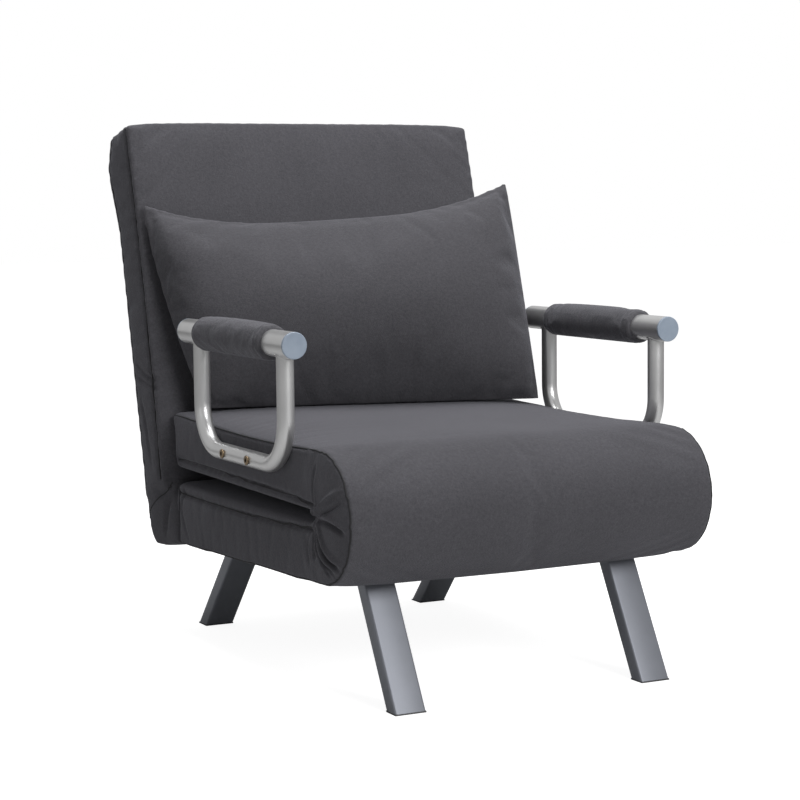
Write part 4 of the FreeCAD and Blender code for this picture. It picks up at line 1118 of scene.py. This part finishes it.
for side, name in SIDES:
    for end, foot, lean, outward in (("front", FRONT_FOOT_Y, FRONT_LEG_LEAN, -1),
                                     ("rear", REAR_FOOT_Y, REAR_LEG_LEAN, 1)):
        leg = make_leg(side, end + "_" + name + "_leg_tube", foot, lean, outward)
        dress(leg, LEG_STEEL)
        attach(leg, "base")
        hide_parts(end + "_" + name + "_leg")
    welds = make_welds(side, name)
    dress(welds, WELD)
    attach(welds, "seat")

screws = make_screws()
dress(screws, BRASS)
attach(screws, "seat")
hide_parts("arm_screws")

NODE_FINISHES = {
    SILVER: ("left_arm_bar", "left_arm_loop", "right_arm_bar", "right_arm_loop", "arm_spacers",
             "support_leg"),
    CAP: ("arm_end_caps",),
    PLUG: ("leg_plugs",),
    FOAM: ("back_foam", "base_foam", "seat_foam"),
    WIRE_STEEL: ("back_wires", "base_wires", "seat_wires"),
    PIN_STEEL: ("front_hinge_pins", "rear_hinge_pins", "pawl_pins", "support_pins", "leg_bolts",
                "ratchet_pawls"),
}
finish_of = {node: finish for finish, nodes in NODE_FINISHES.items() for node in nodes}
for node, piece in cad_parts.items():
    material = finish_of.get(node, FRAME_STEEL)
    for slot in piece.material_slots:
        slot.material = material


# Stage, lamps and camera
def worked_out(tree, operation, *values):
    """A math node, with each input a number or another node's output."""
    node = tree.nodes.new("ShaderNodeMath")
    node.operation = operation
    for socket, value in zip(node.inputs, values):
        if isinstance(value, float):
            socket.default_value = value
        else:
            tree.links.new(value, socket)
    return node.outputs[0]


def plain_floor():
    """A pale floor that glows for the camera, so that it looks white."""
    bpy.ops.object.select_all(action="DESELECT")
    bpy.ops.mesh.primitive_plane_add(size=40.0, location=(0, 0, 0))
    floor = bpy.context.object
    floor.name = "floor"
    material = bpy.data.materials.new("pale floor")
    material.use_nodes = True
    tree = material.node_tree
    nodes, links = tree.nodes, tree.links
    shader = nodes["Principled BSDF"]
    shader.inputs["Base Color"].default_value = (0.62, 0.62, 0.62, 1.0)
    shader.inputs["Roughness"].default_value = 0.9
    glow = nodes.new("ShaderNodeEmission")
    rays = nodes.new("ShaderNodeLightPath")
    seen = worked_out(tree, "MULTIPLY", rays.outputs["Is Camera Ray"], 0.90)
    strength = worked_out(tree, "MULTIPLY_ADD", rays.outputs["Is Glossy Ray"], 0.05, seen)
    links.new(strength, glow.inputs["Strength"])
    both = nodes.new("ShaderNodeAddShader")
    links.new(shader.outputs[0], both.inputs[0])
    links.new(glow.outputs[0], both.inputs[1])
    links.new(both.outputs[0], nodes["Material Output"].inputs["Surface"])
    dress(floor, material)


def world_light():
    """White for the camera, dimmer in mirrored light, and faint as a light."""
    world = bpy.data.worlds.new("studio")
    bpy.context.scene.world = world
    world.use_nodes = True
    tree = world.node_tree
    background = tree.nodes["Background"]
    rays = tree.nodes.new("ShaderNodeLightPath")
    mirrored = worked_out(tree, "MULTIPLY", rays.outputs["Is Glossy Ray"], 0.45)
    seen = worked_out(tree, "MAXIMUM", rays.outputs["Is Camera Ray"], mirrored)
    strength = tree.nodes.new("ShaderNodeMapRange")
    strength.inputs["To Min"].default_value = 0.17
    strength.inputs["To Max"].default_value = 1.0
    tree.links.new(seen, strength.inputs["Value"])
    tree.links.new(strength.outputs["Result"], background.inputs["Strength"])
    background.inputs["Color"].default_value = (1.0, 1.0, 1.0, 1.0)


def lamp(name, place, size, power):
    """A round soft lamp that shines at the chair."""
    light = bpy.data.lights.new(name, "AREA")
    light.shape = "DISK"
    light.size = size
    light.energy = power
    holder = bpy.data.objects.new(name, light)
    holder.location = place
    holder.rotation_euler = (Vector(AIM) - Vector(place)).to_track_quat("-Z", "Y").to_euler()
    bpy.context.scene.collection.objects.link(holder)


def camera():
    ahead = Vector((math.sin(CAMERA_YAW) * math.cos(CAMERA_DOWN),
                    math.cos(CAMERA_YAW) * math.cos(CAMERA_DOWN), -math.sin(CAMERA_DOWN)))
    level = Vector((math.cos(CAMERA_YAW), -math.sin(CAMERA_YAW), 0.0))
    upright = level.cross(ahead)
    right = level * math.cos(CAMERA_ROLL) + upright * math.sin(CAMERA_ROLL)
    above = upright * math.cos(CAMERA_ROLL) - level * math.sin(CAMERA_ROLL)
    turn = Matrix((right, above, -ahead)).transposed().to_4x4()
    data = bpy.data.cameras.new("camera")
    data.sensor_fit = "HORIZONTAL"
    data.sensor_width = SENSOR_WIDTH
    data.lens = CAMERA_LENS
    holder = bpy.data.objects.new("camera", data)
    holder.matrix_world = Matrix.Translation(CAMERA_PLACE) @ turn
    bpy.context.scene.collection.objects.link(holder)
    bpy.context.scene.camera = holder


plain_floor()
world_light()
for settings in LAMPS:
    lamp(*settings)
camera()
bpy.context.scene.view_settings.view_transform = "Standard"
